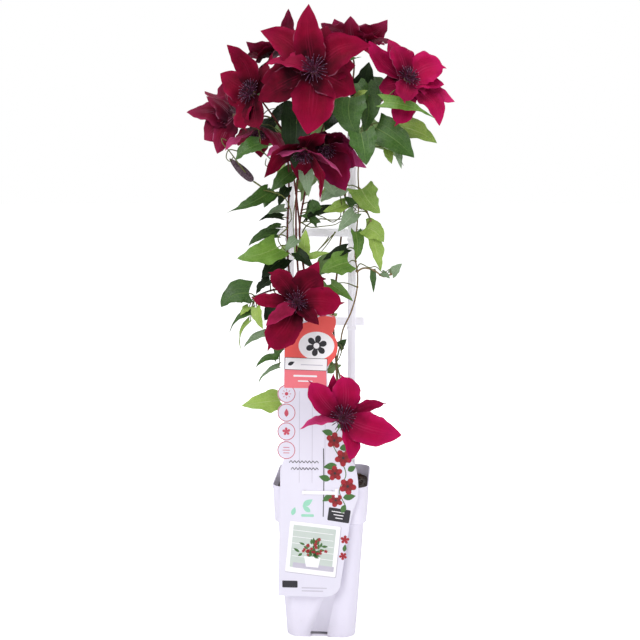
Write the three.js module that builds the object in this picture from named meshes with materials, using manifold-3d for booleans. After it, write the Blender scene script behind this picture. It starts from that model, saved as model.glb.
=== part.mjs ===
// Clematis in bloom on a ladder trellis, standing in its square nursery pot.
// Millimetres, +Z up. Origin: centre of the pot's flat foot. The front, with
// the plant label, faces -Y.
import * as THREE from "three";
import { mergeVertices } from "three/addons/utils/BufferGeometryUtils.js";
import Module from "manifold-3d";

const wasm = await Module();
wasm.setup();

// ---------------------------------------------------------------- dimensions
const GAP = 0.3;

// Heights are measured from a datum that lies POT.below above the pot's foot.
const POT = {
  height: 170, below: 7.5, footHalf: 38.6, bodyTopHalf: 47.8, bodyTop: 127,
  collarBase: 128.2, collarBaseHalf: 51.2, rimHalf: 53.3, rimLip: 1.2,
  wall: 1.5, floor: 2, corner: 14,
  notch: { width: 19, height: 7, depth: 3.5 },
};
const SOIL = { top: 158, hole: 0.45 };

const TRELLIS = {
  uprights: [-38, 32], y: 15, width: 9, depth: 6, foot: 124, top: 560,
  rungs: [245, 345, 445, 545], rungHeight: 9, rungDepth: 4, overhang: 9.5,
  band: { width: 11, depth: 8, height: 4 },
};

const LABEL = {
  thickness: 0.9,
  // [y, z] of the card's mid plane, foot to head
  lean: [[-51, 40], [-51.6, 60], [-55, 132], [-56.5, 170], [-51, 240], [-40, 355], [-39.4, 362]],
  slot: { z: 165.5, height: 5.4, width: 1.8, x: [-16, 14] },
};
const CLIP = { strap: 4.2, thickness: 1, tee: 10 };

const BLADE = 0.8;
const STEM = { main: 1.3, pedicel: 1.0, petiole: 0.65 };
const HUB = { radius: 4.6, depth: 7 };
const STAMEN = { core: 3.6, coreHeight: 5, radius: 0.5 };

// -------------------------------------------------------------------- finish
const finish = (color, roughness, metalness = 0) =>
  new THREE.MeshStandardMaterial({ color, roughness, metalness });
const FINISH = {
  pot: () => finish(0xe6e2f2, 0.42),
  soil: () => finish(0x2c1a12, 0.95),
  trellis: () => finish(0xeae7f5, 0.4),
  label: () => finish(0xf2eef6, 0.45),
  clip: () => finish(0xf7f5fb, 0.4),
  bloom: () => finish(0x8f0a2c, 0.7),
  stamens: () => finish(0x3a1228, 0.7),
  bud: () => finish(0x5d4a55, 0.7),
  leaf: () => finish(0x3f6b2a, 0.55),
};

// ------------------------------------------------------------------- helpers
const V = (a) => new THREE.Vector3(a[0], a[1], a[2]);

/** Closed geometry to a manifold solid, with its faces turned outward. */
function solid(geometry) {
  const g = geometry.clone();
  g.deleteAttribute("normal");
  g.deleteAttribute("uv");
  const merged = mergeVertices(g, 1e-4);
  const vertProperties = new Float32Array(merged.attributes.position.array);
  const index = merged.index.array;
  const kept = [];
  for (let i = 0; i < index.length; i += 3) {
    const [a, b, c] = [index[i], index[i + 1], index[i + 2]];
    if (a !== b && b !== c && a !== c) kept.push(a, b, c);
  }
  let volume = 0;
  const p = vertProperties;
  for (let i = 0; i < kept.length; i += 3) {
    const [a, b, c] = [kept[i] * 3, kept[i + 1] * 3, kept[i + 2] * 3];
    volume += p[a] * (p[b + 1] * p[c + 2] - p[b + 2] * p[c + 1])
      + p[a + 1] * (p[b + 2] * p[c] - p[b] * p[c + 2])
      + p[a + 2] * (p[b] * p[c + 1] - p[b + 1] * p[c]);
  }
  if (volume < 0) {
    for (let i = 0; i < kept.length; i += 3) [kept[i], kept[i + 1]] = [kept[i + 1], kept[i]];
  }
  return new wasm.Manifold(new wasm.Mesh({
    numProp: 3, vertProperties, triVerts: new Uint32Array(kept),
  }));
}

const join = (parts) => parts.reduce((sum, part) => sum.add(part));

/** Triangles of a solid by connected skin: the outer skin has positive volume. */
function skins(vertices, triangles) {
  const parent = Array.from({ length: vertices.length / 3 }, (_, i) => i);
  const find = (i) => {
    while (parent[i] !== i) i = parent[i] = parent[parent[i]];
    return i;
  };
  for (let i = 0; i < triangles.length; i += 3) {
    parent[find(triangles[i])] = find(triangles[i + 1]);
    parent[find(triangles[i + 1])] = find(triangles[i + 2]);
  }
  const out = new Map();
  for (let i = 0; i < triangles.length; i += 3) {
    const key = find(triangles[i]);
    if (!out.has(key)) out.set(key, { index: [], volume: 0 });
    const skin = out.get(key);
    const [a, b, c] = [0, 1, 2].map((k) => V(vertices.slice(triangles[i + k] * 3, triangles[i + k] * 3 + 3)));
    skin.index.push(triangles[i], triangles[i + 1], triangles[i + 2]);
    skin.volume += a.dot(b.cross(c)) / 6;
  }
  return [...out.values()];
}

/** Manifold solid to a named mesh, with pockets closed in by blades filled. */
function mesh(name, body, material) {
  const m = body.getMesh();
  const vertices = new Float32Array(m.vertProperties);
  const outer = skins(vertices, m.triVerts).filter((skin) => skin.volume > 0);
  if (outer.length !== 1) {
    const spots = outer.map(({ index }) => vertices.slice(index[0] * 3, index[0] * 3 + 3).map(Math.round).join(","));
    throw new Error(`${name} falls into pieces near ${spots.join("; ")}`);
  }
  const used = new Map();
  const index = outer[0].index.map((i) => {
    if (!used.has(i)) used.set(i, used.size);
    return used.get(i);
  });
  const position = new Float32Array(used.size * 3);
  for (const [from, to] of used) position.set(vertices.slice(from * 3, from * 3 + 3), to * 3);
  const g = new THREE.BufferGeometry();
  g.setAttribute("position", new THREE.BufferAttribute(position, 3));
  g.setIndex(index);
  g.computeVertexNormals();
  const out = new THREE.Mesh(g, material);
  out.name = name;
  return out;
}

function box(x0, x1, y0, y1, z0, z1) {
  return solid(new THREE.BoxGeometry(x1 - x0, y1 - y0, z1 - z0)
    .translate((x0 + x1) / 2, (y0 + y1) / 2, (z0 + z1) / 2));
}

/** Square ring with round corners at height z. */
function squareRing(half, z, corner, perCorner = 4) {
  const ring = [];
  for (let q = 0; q < 4; q++) {
    const cx = (q === 0 || q === 3 ? 1 : -1) * (half - corner);
    const cy = (q < 2 ? 1 : -1) * (half - corner);
    for (let i = 0; i < perCorner; i++) {
      const a = ((q + i / (perCorner - 1)) * Math.PI) / 2;
      ring.push([cx + corner * Math.cos(a), cy + corner * Math.sin(a), z]);
    }
  }
  return ring;
}

/** Closed solid through a stack of rings, with a fan over each end. */
function loft(rings) {
  const n = rings[0].length;
  const position = rings.flat(2);
  const index = [];
  for (let r = 0; r < rings.length - 1; r++) {
    for (let i = 0; i < n; i++) {
      const a = r * n + i, b = r * n + ((i + 1) % n);
      index.push(a, b, b + n, a, b + n, a + n);
    }
  }
  const cap = (ring, start, flip) => {
    const c = position.length / 3;
    position.push(0, 0, ring[0][2]);
    for (let i = 0; i < n; i++) {
      const a = start + i, b = start + ((i + 1) % n);
      if (flip) index.push(c, b, a); else index.push(c, a, b);
    }
  };
  cap(rings[0], 0, true);
  cap(rings.at(-1), (rings.length - 1) * n, false);
  const g = new THREE.BufferGeometry();
  g.setAttribute("position", new THREE.Float32BufferAttribute(position, 3));
  g.setIndex(index);
  return solid(g);
}

/** Round tube along a smooth curve. */
function tube(points, radius, sides, steps) {
  const shape = new THREE.Shape();
  for (let i = 0; i < sides; i++) {
    const a = (i / sides) * 2 * Math.PI;
    if (i === 0) shape.moveTo(radius, 0);
    else shape.lineTo(radius * Math.cos(a), radius * Math.sin(a));
  }
  shape.closePath();
  const path = new THREE.CatmullRomCurve3(points.map(V), false, "centripetal");
  return {
    path,
    body: solid(new THREE.ExtrudeGeometry(shape, {
      steps, bevelEnabled: false, curveSegments: 1, extrudePath: path,
    })),
  };
}

// -------------------------------------------------------------------- blades
// A tepal or a leaf is a thin blade on a bent centre line: it arches out by
// `arch`, bends back by `curl`, bends sideways by `bow`, rolls about its length
// by `roll` degrees, and its edges rise by `fold` of its half width.
const WIDTH = {
  tepal: (t) => (Math.pow(t + 0.03, 0.8) * Math.pow(1 - t, 0.85)) / 0.335,
  broad: (t) => (Math.pow(t + 0.1, 0.6) * (1 - t)) / 0.404,
  round: (t) => (Math.pow(t + 0.03, 0.8) * Math.pow(1 - t, 0.55)) / 0.418,
  leaf: (t) => (Math.pow(t + 0.12, 0.5) * Math.pow(1 - t, 1.05)) / 0.45,
};
const GRID = {
  tepal: { rows: [0, 0.26, 0.62], columns: [-1, 0, 1] },
  broad: { rows: [0, 0.24, 0.6], columns: [-1, 0, 1] },
  round: { rows: [0, 0.26, 0.6, 0.86], columns: [-1, 0, 1] },
  leaf: { rows: [0, 0.3, 0.66], columns: [-1, 1] },
};

function bladeFrame(b, t) {
  const base = V(b.base), run = V(b.tip).sub(base);
  const along = run.clone().normalize();
  const hint = V(b.hint);
  const up = hint.addScaledVector(along, -hint.dot(along)).normalize();
  const across = along.clone().cross(up);
  const at = base.clone().addScaledVector(run, t)
    .addScaledVector(up, b.arch * Math.sin(Math.PI * t) + b.curl * 0.5 * Math.sin(2 * Math.PI * t))
    .addScaledVector(across, b.bow * Math.sin(Math.PI * t));
  const tangent = run.clone()
    .addScaledVector(up, Math.PI * (b.arch * Math.cos(Math.PI * t) + b.curl * Math.cos(2 * Math.PI * t)))
    .addScaledVector(across, Math.PI * b.bow * Math.cos(Math.PI * t))
    .normalize();
  const n0 = up.clone().addScaledVector(tangent, -up.dot(tangent)).normalize();
  const s0 = tangent.clone().cross(n0);
  const a = THREE.MathUtils.degToRad(b.roll) * Math.min(1, 0.25 + t);
  const normal = n0.clone().multiplyScalar(Math.cos(a)).addScaledVector(s0, Math.sin(a));
  const side = s0.clone().multiplyScalar(Math.cos(a)).addScaledVector(n0, -Math.sin(a));
  return { at, tangent, normal, side, length: run.length() };
}

function bladePoint(b, s, t) {
  const f = bladeFrame(b, t);
  const w = (b.width / 2) * WIDTH[b.kind](t);
  const p = f.at.clone().addScaledVector(f.side, s * w);
  if (b.kind === "leaf") {
    p.addScaledVector(f.tangent, -0.14 * f.length * Math.pow(Math.abs(s), 1.5) * (1 - t) ** 2);
  } else {
    p.addScaledVector(f.normal, b.fold * w * Math.pow(Math.abs(s), 1.5));
  }
  return { p, normal: f.normal };
}

function bladeSolid(b, thickness = BLADE) {
  const { rows, columns } = GRID[b.kind];
  const top = [], low = [];
  const put = (s, t) => {
    const { p, normal } = bladePoint(b, s, t);
    top.push(p.clone().addScaledVector(normal, thickness / 2));
    low.push(p.clone().addScaledVector(normal, -thickness / 2));
  };
  for (const t of rows) for (const s of columns) put(s, t);
  put(0, 1);
  const across = columns.length, n = top.length, last = n - 1, index = [];
  const face = (a, c, d) => { index.push(a, c, d, a + n, d + n, c + n); };
  for (let r = 0; r < rows.length - 1; r++) {
    for (let k = 0; k < across - 1; k++) {
      const a = r * across + k, up = a + across;
      if (k % 2) { face(a, a + 1, up); face(a + 1, up + 1, up); }
      else { face(a, a + 1, up + 1); face(a, up + 1, up); }
    }
  }
  const end = (rows.length - 1) * across;
  for (let k = 0; k < across - 1; k++) face(end + k, end + k + 1, last);
  const loop = columns.map((_, k) => k);
  for (let r = 1; r < rows.length; r++) loop.push(r * across + across - 1);
  loop.push(last);
  for (let r = rows.length - 1; r > 0; r--) loop.push(r * across);
  for (let i = 0; i < loop.length; i++) {
    const a = loop[i], c = loop[(i + 1) % loop.length];
    index.push(c, a, a + n, c, a + n, c + n);
  }
  const position = [...top, ...low].flatMap((p) => [p.x, p.y, p.z]);
  const g = new THREE.BufferGeometry();
  g.setAttribute("position", new THREE.Float32BufferAttribute(position, 3));
  g.setIndex(index);
  return solid(g);
}

// ------------------------------------------------------------ plant geometry
// Stems: the rooted main stem first, then its branches and flower stalks. A
// stalk ends at the back of its bloom.
const STEMS = {
  left: {
    root: [-16, -12],
    main: [[-16, -12, 165], [-19, -10, 205], [-28, -6, 262], [-33, -4, 320], [-34, -7, 372], [-38, -10, 420],
      [-38, -12, 455], [-36, -16, 490], [-36, -28, 528], [-40, -38, 556]],
    branches: [
      { from: [-40, -38, 556], via: [[-52, -42, 574]], bloom: "b" },
      { from: [-36, -29, 530], via: [[-44, -30, 560], [-56, -34, 571]], bloom: "k" },
      { from: [-36, -9, 400], via: [[-33, -27, 400], [-27, -42, 388]], bloom: "i" },
      { from: [-36, -16, 486], via: [[-52, -25, 489]], to: [-73.2, -30, 502.6] },
      { from: [-34, -8, 378], via: [[-50, -20, 384]], to: [-76, -29, 376] },
      { from: [-33, -5, 330], via: [[-38, -14, 326]], to: [-46, -26, 322] },
    ],
  },
  centre: {
    root: [-6, -16],
    main: [[-6, -16, 165], [-9, -15, 210], [-15, -13, 270], [-20, -15, 330], [-24, -17, 380], [-27, -18, 420],
      [-28, -20, 460], [-26, -26, 500], [-20, -34, 545], [-14, -42, 580], [-9, -56, 604]],
    branches: [
      { from: [-9, -56, 604], via: [], bloom: "a" },
      { from: [-20, -35, 548], via: [[-17, -46, 556]], bloom: "g" },
    ],
  },
  middle: {
    root: [4, -12],
    main: [[4, -12, 165], [5, -9, 210], [3, -6, 270], [-5, -7, 330], [-15, -9, 380], [-21, -9, 410],
      [-25, -9, 450], [-20, -10, 484], [-14, -11, 510], [-4, -14, 545], [8, -10, 585], [8, -6, 606]],
    branches: [{ from: [-4, -14, 545], via: [[3, -18, 550]], bloom: "h" }],
  },
  right: {
    root: [18, -12],
    radius: 1,
    main: [[18, -12, 165], [20, -10, 205], [18, -8, 255], [16, -8, 300], [20, -6, 321], [23, -6, 338], [32, -6, 358],
      [38, -4, 380], [39, -2, 399], [36, 1, 421], [38, 4, 454], [40, 4, 482], [39, 2, 515], [44, -4, 545],
      [58, -12, 580], [76, -27, 600]],
    branches: [
      { from: [76, -27, 600], via: [], bloom: "c" },
      { from: [16, -8, 300], via: [[21, -30, 288], [25, -62, 268]], bloom: "j" },
      { from: [38, 0, 404], via: [[46, -5, 407], [57, -8, 405], [68, -8, 398]], to: [77, -8, 401] },
      { from: [40, 4, 474], via: [[48, -5, 470]], to: [54, -8, 458] },
    ],
  },
  rearRight: {
    root: [16, 28],
    main: [[16, 28, 165], [19, 29, 220], [14, 31, 290], [10, 32, 350], [17, 30, 420], [23, 32, 480], [26, 35, 540],
      [30, 36, 600]],
    branches: [{ from: [30, 36, 600], via: [[33, 31, 630]], bloom: "d" }],
  },
  rearLeft: {
    root: [-18, 28],
    main: [[-18, 28, 165], [-22, 30, 220], [-26, 31, 300], [-22, 29, 370], [-27, 31, 440], [-34, 32, 500],
      [-42, 27, 555], [-45, 20, 600]],
    branches: [
      { from: [-45, 20, 600], via: [[-46, 17, 625]], bloom: "e" },
      { from: [-41, 28, 550], via: [[-68, 14, 566], [-84, -3, 576]], bloom: "f" },
    ],
  },
};

// Blooms: centre, facing direction, and tepals as
// [tip x, y, z, width, arch, curl, roll, fold, bow, outline].
const BLOOMS = {
  a: {
    centre: [-4, -85, 616], axis: [0.06, -0.97, 0.2], reach: 12.5,
    tepals: [
      [-9, -82, 682, 32, 6, 0, 0, 0.14, -3, "broad"], [54, -72, 641, 38, 7, 0, -10, 0.14, -8, "broad"],
      [39, -68, 594, 42, 6, 2, -8, 0.12, 0, "broad"], [-10, -92, 551, 45, 6, 0, 0, 0.1, -3],
      [-52, -88, 622, 22, 6, 4, 45, 0.4, 3], [-62, -74, 586, 36, 6, 0, 10, 0.2],
      [-60, -70, 657, 34, 6, 0, -8, 0.14, 6, "broad"], [9, -66, 662, 31, 3, 0, 0, 0.1],
      [-60, -66, 606, 34, 4, 0, 0, 0.12], [38, -66, 622, 33, 5, 0, 0, 0.12, 0, "broad"],
    ],
  },
  b: {
    centre: [-72, -55, 595], axis: [-0.5, -0.75, 0.35], reach: 11,
    tepals: [
      [-96, -62, 644, 26, -5, -2, 0, 0.2, 6], [-106, -44, 616, 34, 4, 0, 0, 0.14, 0, "broad"],
      [-77, -74, 554, 30, 4, -2, 10, 0.15, 2, "round"], [-98, -44, 588, 30, 5, 0, -10, 0.12],
      [-62, -84, 554, 28, 5, 0, -10, 0.15, -2, "round"], [-54, -46, 624, 34, 4, 0, 0, 0.12],
    ],
  },
  c: {
    centre: [92, -48, 609], axis: [0.4, -0.66, 0.63], reach: 11,
    tepals: [
      [78, -40, 646, 36, 4, 0, 0, 0.15, 0, "round"], [132, -42, 623, 40, 6, 0, 0, 0.12, -3, "round"],
      [141, -56, 585, 18, -3, 2, 30, 0.1, -5], [125, -68, 560, 24, 5, -3, 20, 0.15, -8],
      [86, -88, 583, 26, 4, 0, 0, 0.15, 0, "round"], [82, -70, 558, 30, 6, 0, 0, 0.12, 0, "round"],
      [58, -46, 635, 22, -4, 0, -30, 0.3, -3], [62, -44, 602, 34, 3, 0, 0, 0.1, -3],
      [72, -18, 653, 26, 4, 2, 0, 0.15], [130, -50, 603, 20, 3, 2, 20, 0.2],
    ],
  },
  d: {
    centre: [34, 30, 655], axis: [0.15, 0.26, 0.95], reach: 12,
    tepals: [
      [70, 12, 677, 32, -4, 3, -20, 0.15, 0, "broad"], [74, 8, 654, 30, 4, 0, 0, 0.1],
      [-2, -2, 672, 26, 3, 3, 20, 0.15], [30, 2, 680, 32, -5, 0, 0, 0.15, 0, "broad"],
      [12, 8, 678, 24, -4, 2, 30, 0.15], [30, 84, 664, 28, 5, 0, 0, 0.12], [66, 66, 655, 29, 5, 0, 10, 0.12],
      [-4, 66, 656, 27, 5, 0, -10, 0.12], [52, -26, 636, 34, 4, 2, 0, 0.15, 0, "broad"],
    ],
  },
  e: {
    centre: [-49, 20, 646], axis: [-0.35, 0.3, 0.85], reach: 12,
    tepals: [
      [-35, -24, 685, 23, -4, 2, -10, 0.2, 0, "broad"], [-82, -14, 652, 32, -4, 3, 0, 0.15, 0, "broad"],
      [-76, -14, 626, 36, 4, 0, 0, 0.15, 0, "broad"], [-84, 64, 646, 29, 5, 0, 0, 0.12],
      [-38, 78, 648, 29, 5, 0, 10, 0.12], [-100, 34, 634, 26, 5, 0, 0, 0.12], [-12, 42, 664, 24, 5, 0, 0, 0.12],
      [-63, -30, 594, 31, 4, 0, 0, 0.12],
    ],
  },
  f: {
    centre: [-99, -5, 570], axis: [-0.62, 0.45, -0.55], reach: 12,
    tepals: [
      [-148, -14, 577, 42, -5, 0, 0, 0.12, 0, "broad"], [-127, -26, 547, 38, -4, 0, 10, 0.12],
      [-112, -32, 532, 24, -3, 0, 20, 0.2, -3], [-134, 24, 602, 26, -4, 0, 0, 0.15],
      [-112, 40, 616, 27, 3, 0, 0, 0.12], [-98, 50, 574, 28, -4, 0, 0, 0.15],
      [-126, -14, 594, 38, -4, 0, 0, 0.12, 0, "broad"],
    ],
  },
  g: {
    centre: [-16, -60, 534], axis: [-0.1, -0.5, -0.86], reach: 11,
    tepals: [
      [-53, -78, 529, 26, -4, 4, -60, 0.2, 0, "broad"], [-55, -86, 507, 28, -8, 0, 30, 0.2],
      [0, -86, 553, 32, -5, 0, 20, 0.15, 0, "round"], [2, -84, 483, 26, -9, 2, 0, 0.2],
      [26, -98, 508, 24, -5, 2, 10, 0.15, 0, "broad"], [-24, -34, 504, 26, -7, 0, 0, 0.2],
    ],
  },
  h: {
    centre: [7, -40, 538], axis: [0.1, -0.85, -0.5], reach: 9,
    tepals: [
      [28, -60, 493, 38, -5, 0, 0, 0.2, 0, "broad"], [-4, -58, 553, 22, -4, 0, 0, 0.2],
      [22, -60, 553, 22, -4, 0, 0, 0.2], [37, -58, 541, 28, -5, 3, 0, 0.2], [38, -56, 519, 30, -5, 2, 10, 0.2],
      [-9, -52, 524, 20, -5, 0, 0, 0.2], [49, -30, 517, 22, -4, 0, 0, 0.2, 0, "broad"],
    ],
  },
  i: {
    centre: [-24, -60, 375], axis: [0.05, -0.97, 0.12], reach: 10,
    tepals: [
      [-53, -56, 409, 25, 5, 0, 0, 0.12, 3, "round"], [7, -60, 403, 38, 6, 0, 0, 0.1, -5, "broad"],
      [27, -66, 372, 34, 5, 0, 0, 0.12, -3, "broad"], [-74, -60, 377, 17, 4, 0, 25, 0.25, 0, "round"],
      [-45, -74, 324, 38, 6, 0, 0, 0.1, -7, "round"], [-1, -50, 418, 21, 4, 0, 0, 0.12],
      [-55, -80, 352, 18, 4, 3, 30, 0.35], [1, -77, 353, 18, 4, 0, -20, 0.3],
    ],
  },
  j: {
    centre: [27, -95, 257], axis: [0.2, -0.93, 0.25], reach: 12.5,
    tepals: [
      [-5, -92, 297, 28, 5, 0, 0, 0.14, -4, "broad"], [17, -80, 304, 21, -4, 0, 0, 0.15, -3],
      [31, -86, 303, 36, 4, 0, 0, 0.12, 4, "round"], [72, -98, 275, 15, -3, 2, 30, 0.2, -2],
      [88, -104, 241, 34, 6, 0, 0, 0.12, 6, "broad"], [37, -112, 219, 21, 6, 0, -20, 0.2, -3],
      [-17, -106, 247, 15, 3, 0, 50, 0.2, 4],
    ],
  },
  k: {
    centre: [-67, -45, 556], axis: [0.05, -0.35, -0.93], reach: 9,
    tepals: [
      [-99, -60, 535, 22, -4, 3, -40, 0.2], [-33, -64, 532, 22, -4, -3, 40, 0.2], [-66, -20, 528, 22, -5, 0, 0, 0.2],
      [-94, 2, 541, 23, -4, 0, 0, 0.2], [-44, 2, 541, 23, -4, 0, 0, 0.2],
    ],
  },
};

// Leaves: [stem, base, tip, width, face direction, arch, roll, fold, bow].
const FRONT = [0.05, -0.85, 0.5], LOW = [0.1, -0.6, 0.8], SKY = [0, -0.3, 0.95], BACK = [0, 0.85, 0.5];
const LEFT = [-0.5, -0.6, 0.6], RIGHT = [0.5, -0.6, 0.6], OUT = [0.6, 0.2, 0.7];
const LEAVES = [
  ["left", [-61, -68, 542], [-86, -80, 525], 24, LOW, 4, 0, 0.15],
  ["left", [-57, -30, 490], [-102, -44, 470], 20, FRONT, 5, 10, 0.2, -5],
  ["left", [-30, -26, 546], [-47, -36, 517], 21, FRONT, 3, 0, 0.15],
  ["left", [-31, -22, 513], [-54, -32, 492], 19, FRONT, 3, 0, 0.15],
  ["left", [-53, -24, 491], [-62, -31, 474], 13, FRONT, 2, 0, 0.2],
  ["left", [-38, -18, 496], [-47, -22, 476], 13, FRONT, 2, 0, 0.2],
  ["left", [-41, -16, 473], [-60, -22, 467], 11, FRONT, 1, 20, 0.2],
  ["left", [-44, -12, 463], [-69, -20, 460], 9, FRONT, 2, 20, 0.2, 2],
  ["left", [-46, -10, 453], [-63, -16, 449], 9, LOW, 2, 0, 0.2],
  ["left", [-50, -10, 444], [-81, -18, 432], 16, LOW, 3, 0, 0.2, 3],
  ["left", [-48, -26, 431], [-90, -44, 421], 29, FRONT, 4, 0, 0.12, -5],
  ["left", [-42, -16, 419], [-66, -24, 397], 22, FRONT, 3, 0, 0.15],
  ["left", [-44, -14, 414], [-41, -22, 397], 11, LEFT, 2, 0, 0.2],
  ["left", [-79, -30, 381], [-109, -36, 366], 27, FRONT, 3, 0, 0.12, 5],
  ["left", [-56, -26, 395], [-72, -30, 380], 17, LEFT, 2, 0, 0.15],
  ["left", [-79, -33, 366], [-88, -37, 357], 9, LOW, 1, 0, 0.2],
  ["left", [-74, -34, 362], [-101, -40, 338], 10, FRONT, 2, 30, 0.2, 4],
  ["left", [-78, -37, 351], [-88, -43, 320], 11, LEFT, 2, 40, 0.2, 4],
  ["left", [-58, -30, 337], [-85, -36, 322], 11, LOW, 2, 0, 0.2, 2],
  ["left", [-46, -32, 370], [-62, -32, 351], 19, FRONT, 2, 0, 0.2],
  ["left", [-70, -36, 366], [-62, -44, 343], 13, LEFT, 2, 0, 0.2],
  ["left", [-42, -34, 322], [-50, -38, 306], 14, LEFT, 2, 0, 0.2],
  ["left", [-48, -39, 312], [-71, -44, 301], 9, LOW, 2, 0, 0.2, 3],
  ["left", [-46, -38, 301], [-70, -46, 279], 10, LEFT, 2, 20, 0.2, 4],
  ["left", [-45, -37, 263], [-86, -49, 259], 23, FRONT, 3, 0, 0.15],
  ["centre", [-27, -27, 440], [-39, -31, 427], 13, FRONT, 2, 0, 0.2],
  ["centre", [-19, -20, 425], [-17, -22, 451], 14, FRONT, 2, 0, 0.2],
  ["centre", [-15, -23, 420], [9, -27, 426], 9, FRONT, 1, 0, 0.2],
  ["centre", [-26, -28, 426], [-8, -34, 409], 13, FRONT, 2, 0, 0.2],
  ["centre", [-24, -48, 576], [-26, -58, 516], 30, FRONT, 4, 0, 0.12],
  ["centre", [-30, -30, 578], [-56, -34, 566], 22, FRONT, 3, 0, 0.15],
  ["centre", [-17, -33, 519], [-13, -34, 486], 16, FRONT, 2, 0, 0.15],
  ["middle", [-10, -10, 479], [-16, -13, 467], 11, FRONT, 1, 0, 0.2],
  ["middle", [2, -16, 508], [15, -24, 487], 19, FRONT, 2, 0, 0.15],
  ["middle", [8, -8, 472], [-22, -14, 458], 12, FRONT, 2, 20, 0.2, 2],
  ["middle", [-13, -4, 464], [-9, -8, 480], 12, FRONT, 1, 0, 0.2],
  ["middle", [14, -40, 574], [6, -50, 556], 20, FRONT, 2, 0, 0.15],
  ["middle", [8, -2, 612], [-22, -24, 634], 26, SKY, 4, 0, 0.15],
  ["middle", [14, -4, 612], [42, -26, 636], 26, SKY, 4, 0, 0.15],
  ["right", [24, -8, 497], [-2, -14, 481], 19, FRONT, 2, 0, 0.15],
  ["right", [26, -6, 478], [0, -12, 469], 15, FRONT, 2, 0, 0.2, -2],
  ["right", [36, -12, 468], [18, -20, 448], 16, FRONT, 2, 0, 0.2],
  ["right", [34, -6, 476], [24, -10, 486], 11, FRONT, 1, 0, 0.2],
  ["right", [43, -10, 494], [64, -16, 468], 30, FRONT, 3, 0, 0.12, 3],
  ["right", [48, -8, 452], [68, -12, 436], 22, FRONT, 3, 20, 0.2, -2],
  ["right", [55, -8, 442], [65, -12, 404], 17, RIGHT, 3, 20, 0.2, 2],
  ["right", [37, -10, 447], [38, -16, 416], 17, RIGHT, 3, 0, 0.2],
  ["right", [27, -8, 429], [0, -12, 416], 12, FRONT, 2, 0, 0.2],
  ["right", [29, -14, 414], [-1, -26, 404], 29, FRONT, 3, 0, 0.12],
  ["right", [10, -16, 390], [35, -22, 372], 13, FRONT, 2, 0, 0.2],
  ["right", [56, -8, 404], [57, -12, 380], 7, FRONT, 1, 0, 0.2],
  ["right", [66, -8, 402], [75, -10, 396], 7, FRONT, 1, 0, 0.2],
  ["right", [77, -8, 401], [88, -10, 413], 11, FRONT, 1, 0, 0.2],
  ["right", [20, -18, 320], [28, -22, 330], 10, FRONT, 1, 0, 0.2],
  ["right", [32, -54, 590], [42, -62, 549], 32, FRONT, 4, 0, 0.12, 6],
  ["right", [44, -66, 553], [50, -74, 520], 29, FRONT, 3, 0, 0.15],
  ["right", [59, -36, 559], [100, -50, 528], 36, FRONT, 5, 0, 0.12],
  ["right", [80, -24, 561], [124, -33, 543], 27, FRONT, 4, 0, 0.15, -2],
  ["right", [68, -78, 584], [122, -72, 567], 17, FRONT, 4, 0, 0.2, -2],
  ["right", [44, -20, 594], [51, -24, 629], 26, FRONT, 3, 0, 0.15],
  ["right", [46, -28, 602], [46, -42, 554], 27, FRONT, 3, 0, 0.15, -5],
  ["right", [39, -34, 606], [50, -40, 588], 18, FRONT, 2, 0, 0.2],
  ["right", [39, -41, 590], [50, -46, 598], 9, FRONT, 2, 0, 0.2],
  ["right", [59, -22, 596], [71, -28, 604], 11, FRONT, 2, 0, 0.2],
  ["right", [72, -38, 536], [76, -43, 521], 10, FRONT, 1, 30, 0.2],
  ["right", [83, -38, 536], [86, -44, 516], 8, FRONT, 1, 30, 0.2],
  ["right", [52, 4, 546], [90, 14, 520], 29, OUT, 4, 0, 0.15],
  ["rearRight", [40, 46, 562], [76, 60, 534], 34, BACK, 4, 0, 0.12],
  ["rearRight", [24, 46, 524], [8, 64, 498], 26, BACK, 4, 0, 0.12],
  ["rearRight", [18, 42, 502], [-6, 58, 478], 24, BACK, 4, 0, 0.12],
  ["rearRight", [10, 42, 412], [-14, 52, 390], 25, BACK, 3, 0, 0.15],
  ["rearRight", [6, 42, 352], [-16, 52, 334], 22, BACK, 3, 0, 0.15],
  ["rearRight", [10, 42, 292], [-12, 50, 272], 22, BACK, 3, 0, 0.15],
  ["rearRight", [44, 44, 604], [84, 50, 596], 30, BACK, 4, 0, 0.15],
  ["rearRight", [18, 40, 250], [-4, 50, 236], 18, BACK, 2, 0, 0.15],
  ["rearRight", [14, 50, 616], [-14, 66, 596], 32, BACK, 4, 0, 0.12],
  ["rearLeft", [-50, 40, 562], [-84, 54, 538], 32, BACK, 4, 0, 0.12],
  ["rearLeft", [-36, 44, 522], [-58, 62, 494], 28, BACK, 4, 0, 0.12],
  ["rearLeft", [-28, 42, 490], [-8, 60, 508], 24, BACK, 3, 0, 0.15],
  ["rearLeft", [-30, 42, 424], [-60, 52, 406], 24, BACK, 4, 0, 0.12],
  ["rearLeft", [-20, 40, 390], [4, 50, 376], 20, BACK, 3, 0, 0.15],
  ["rearLeft", [-26, 42, 320], [-36, 52, 298], 20, BACK, 3, 0, 0.15],
  ["rearLeft", [-20, 42, 240], [-2, 50, 222], 19, BACK, 3, 0, 0.15],
  ["rearLeft", [-52, 34, 600], [-92, 44, 596], 28, BACK, 4, 0, 0.15],
  ["rearLeft", [-26, 46, 580], [-2, 64, 548], 32, BACK, 4, 0, 0.12],
  ["rearLeft", [-54, 8, 560], [-90, 14, 552], 26, LEFT, 4, 0, 0.15],
];

// ---------------------------------------------------------------- clearances
const placed = [];
const lost = [];

function place(node, body, own = null) {
  placed.push({ node, own, body, box: body.boundingBox() });
}

const apart = (a, b) => a.min.some((v, k) => v > b.max[k]) || a.max.some((v, k) => v < b.min[k]);

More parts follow.
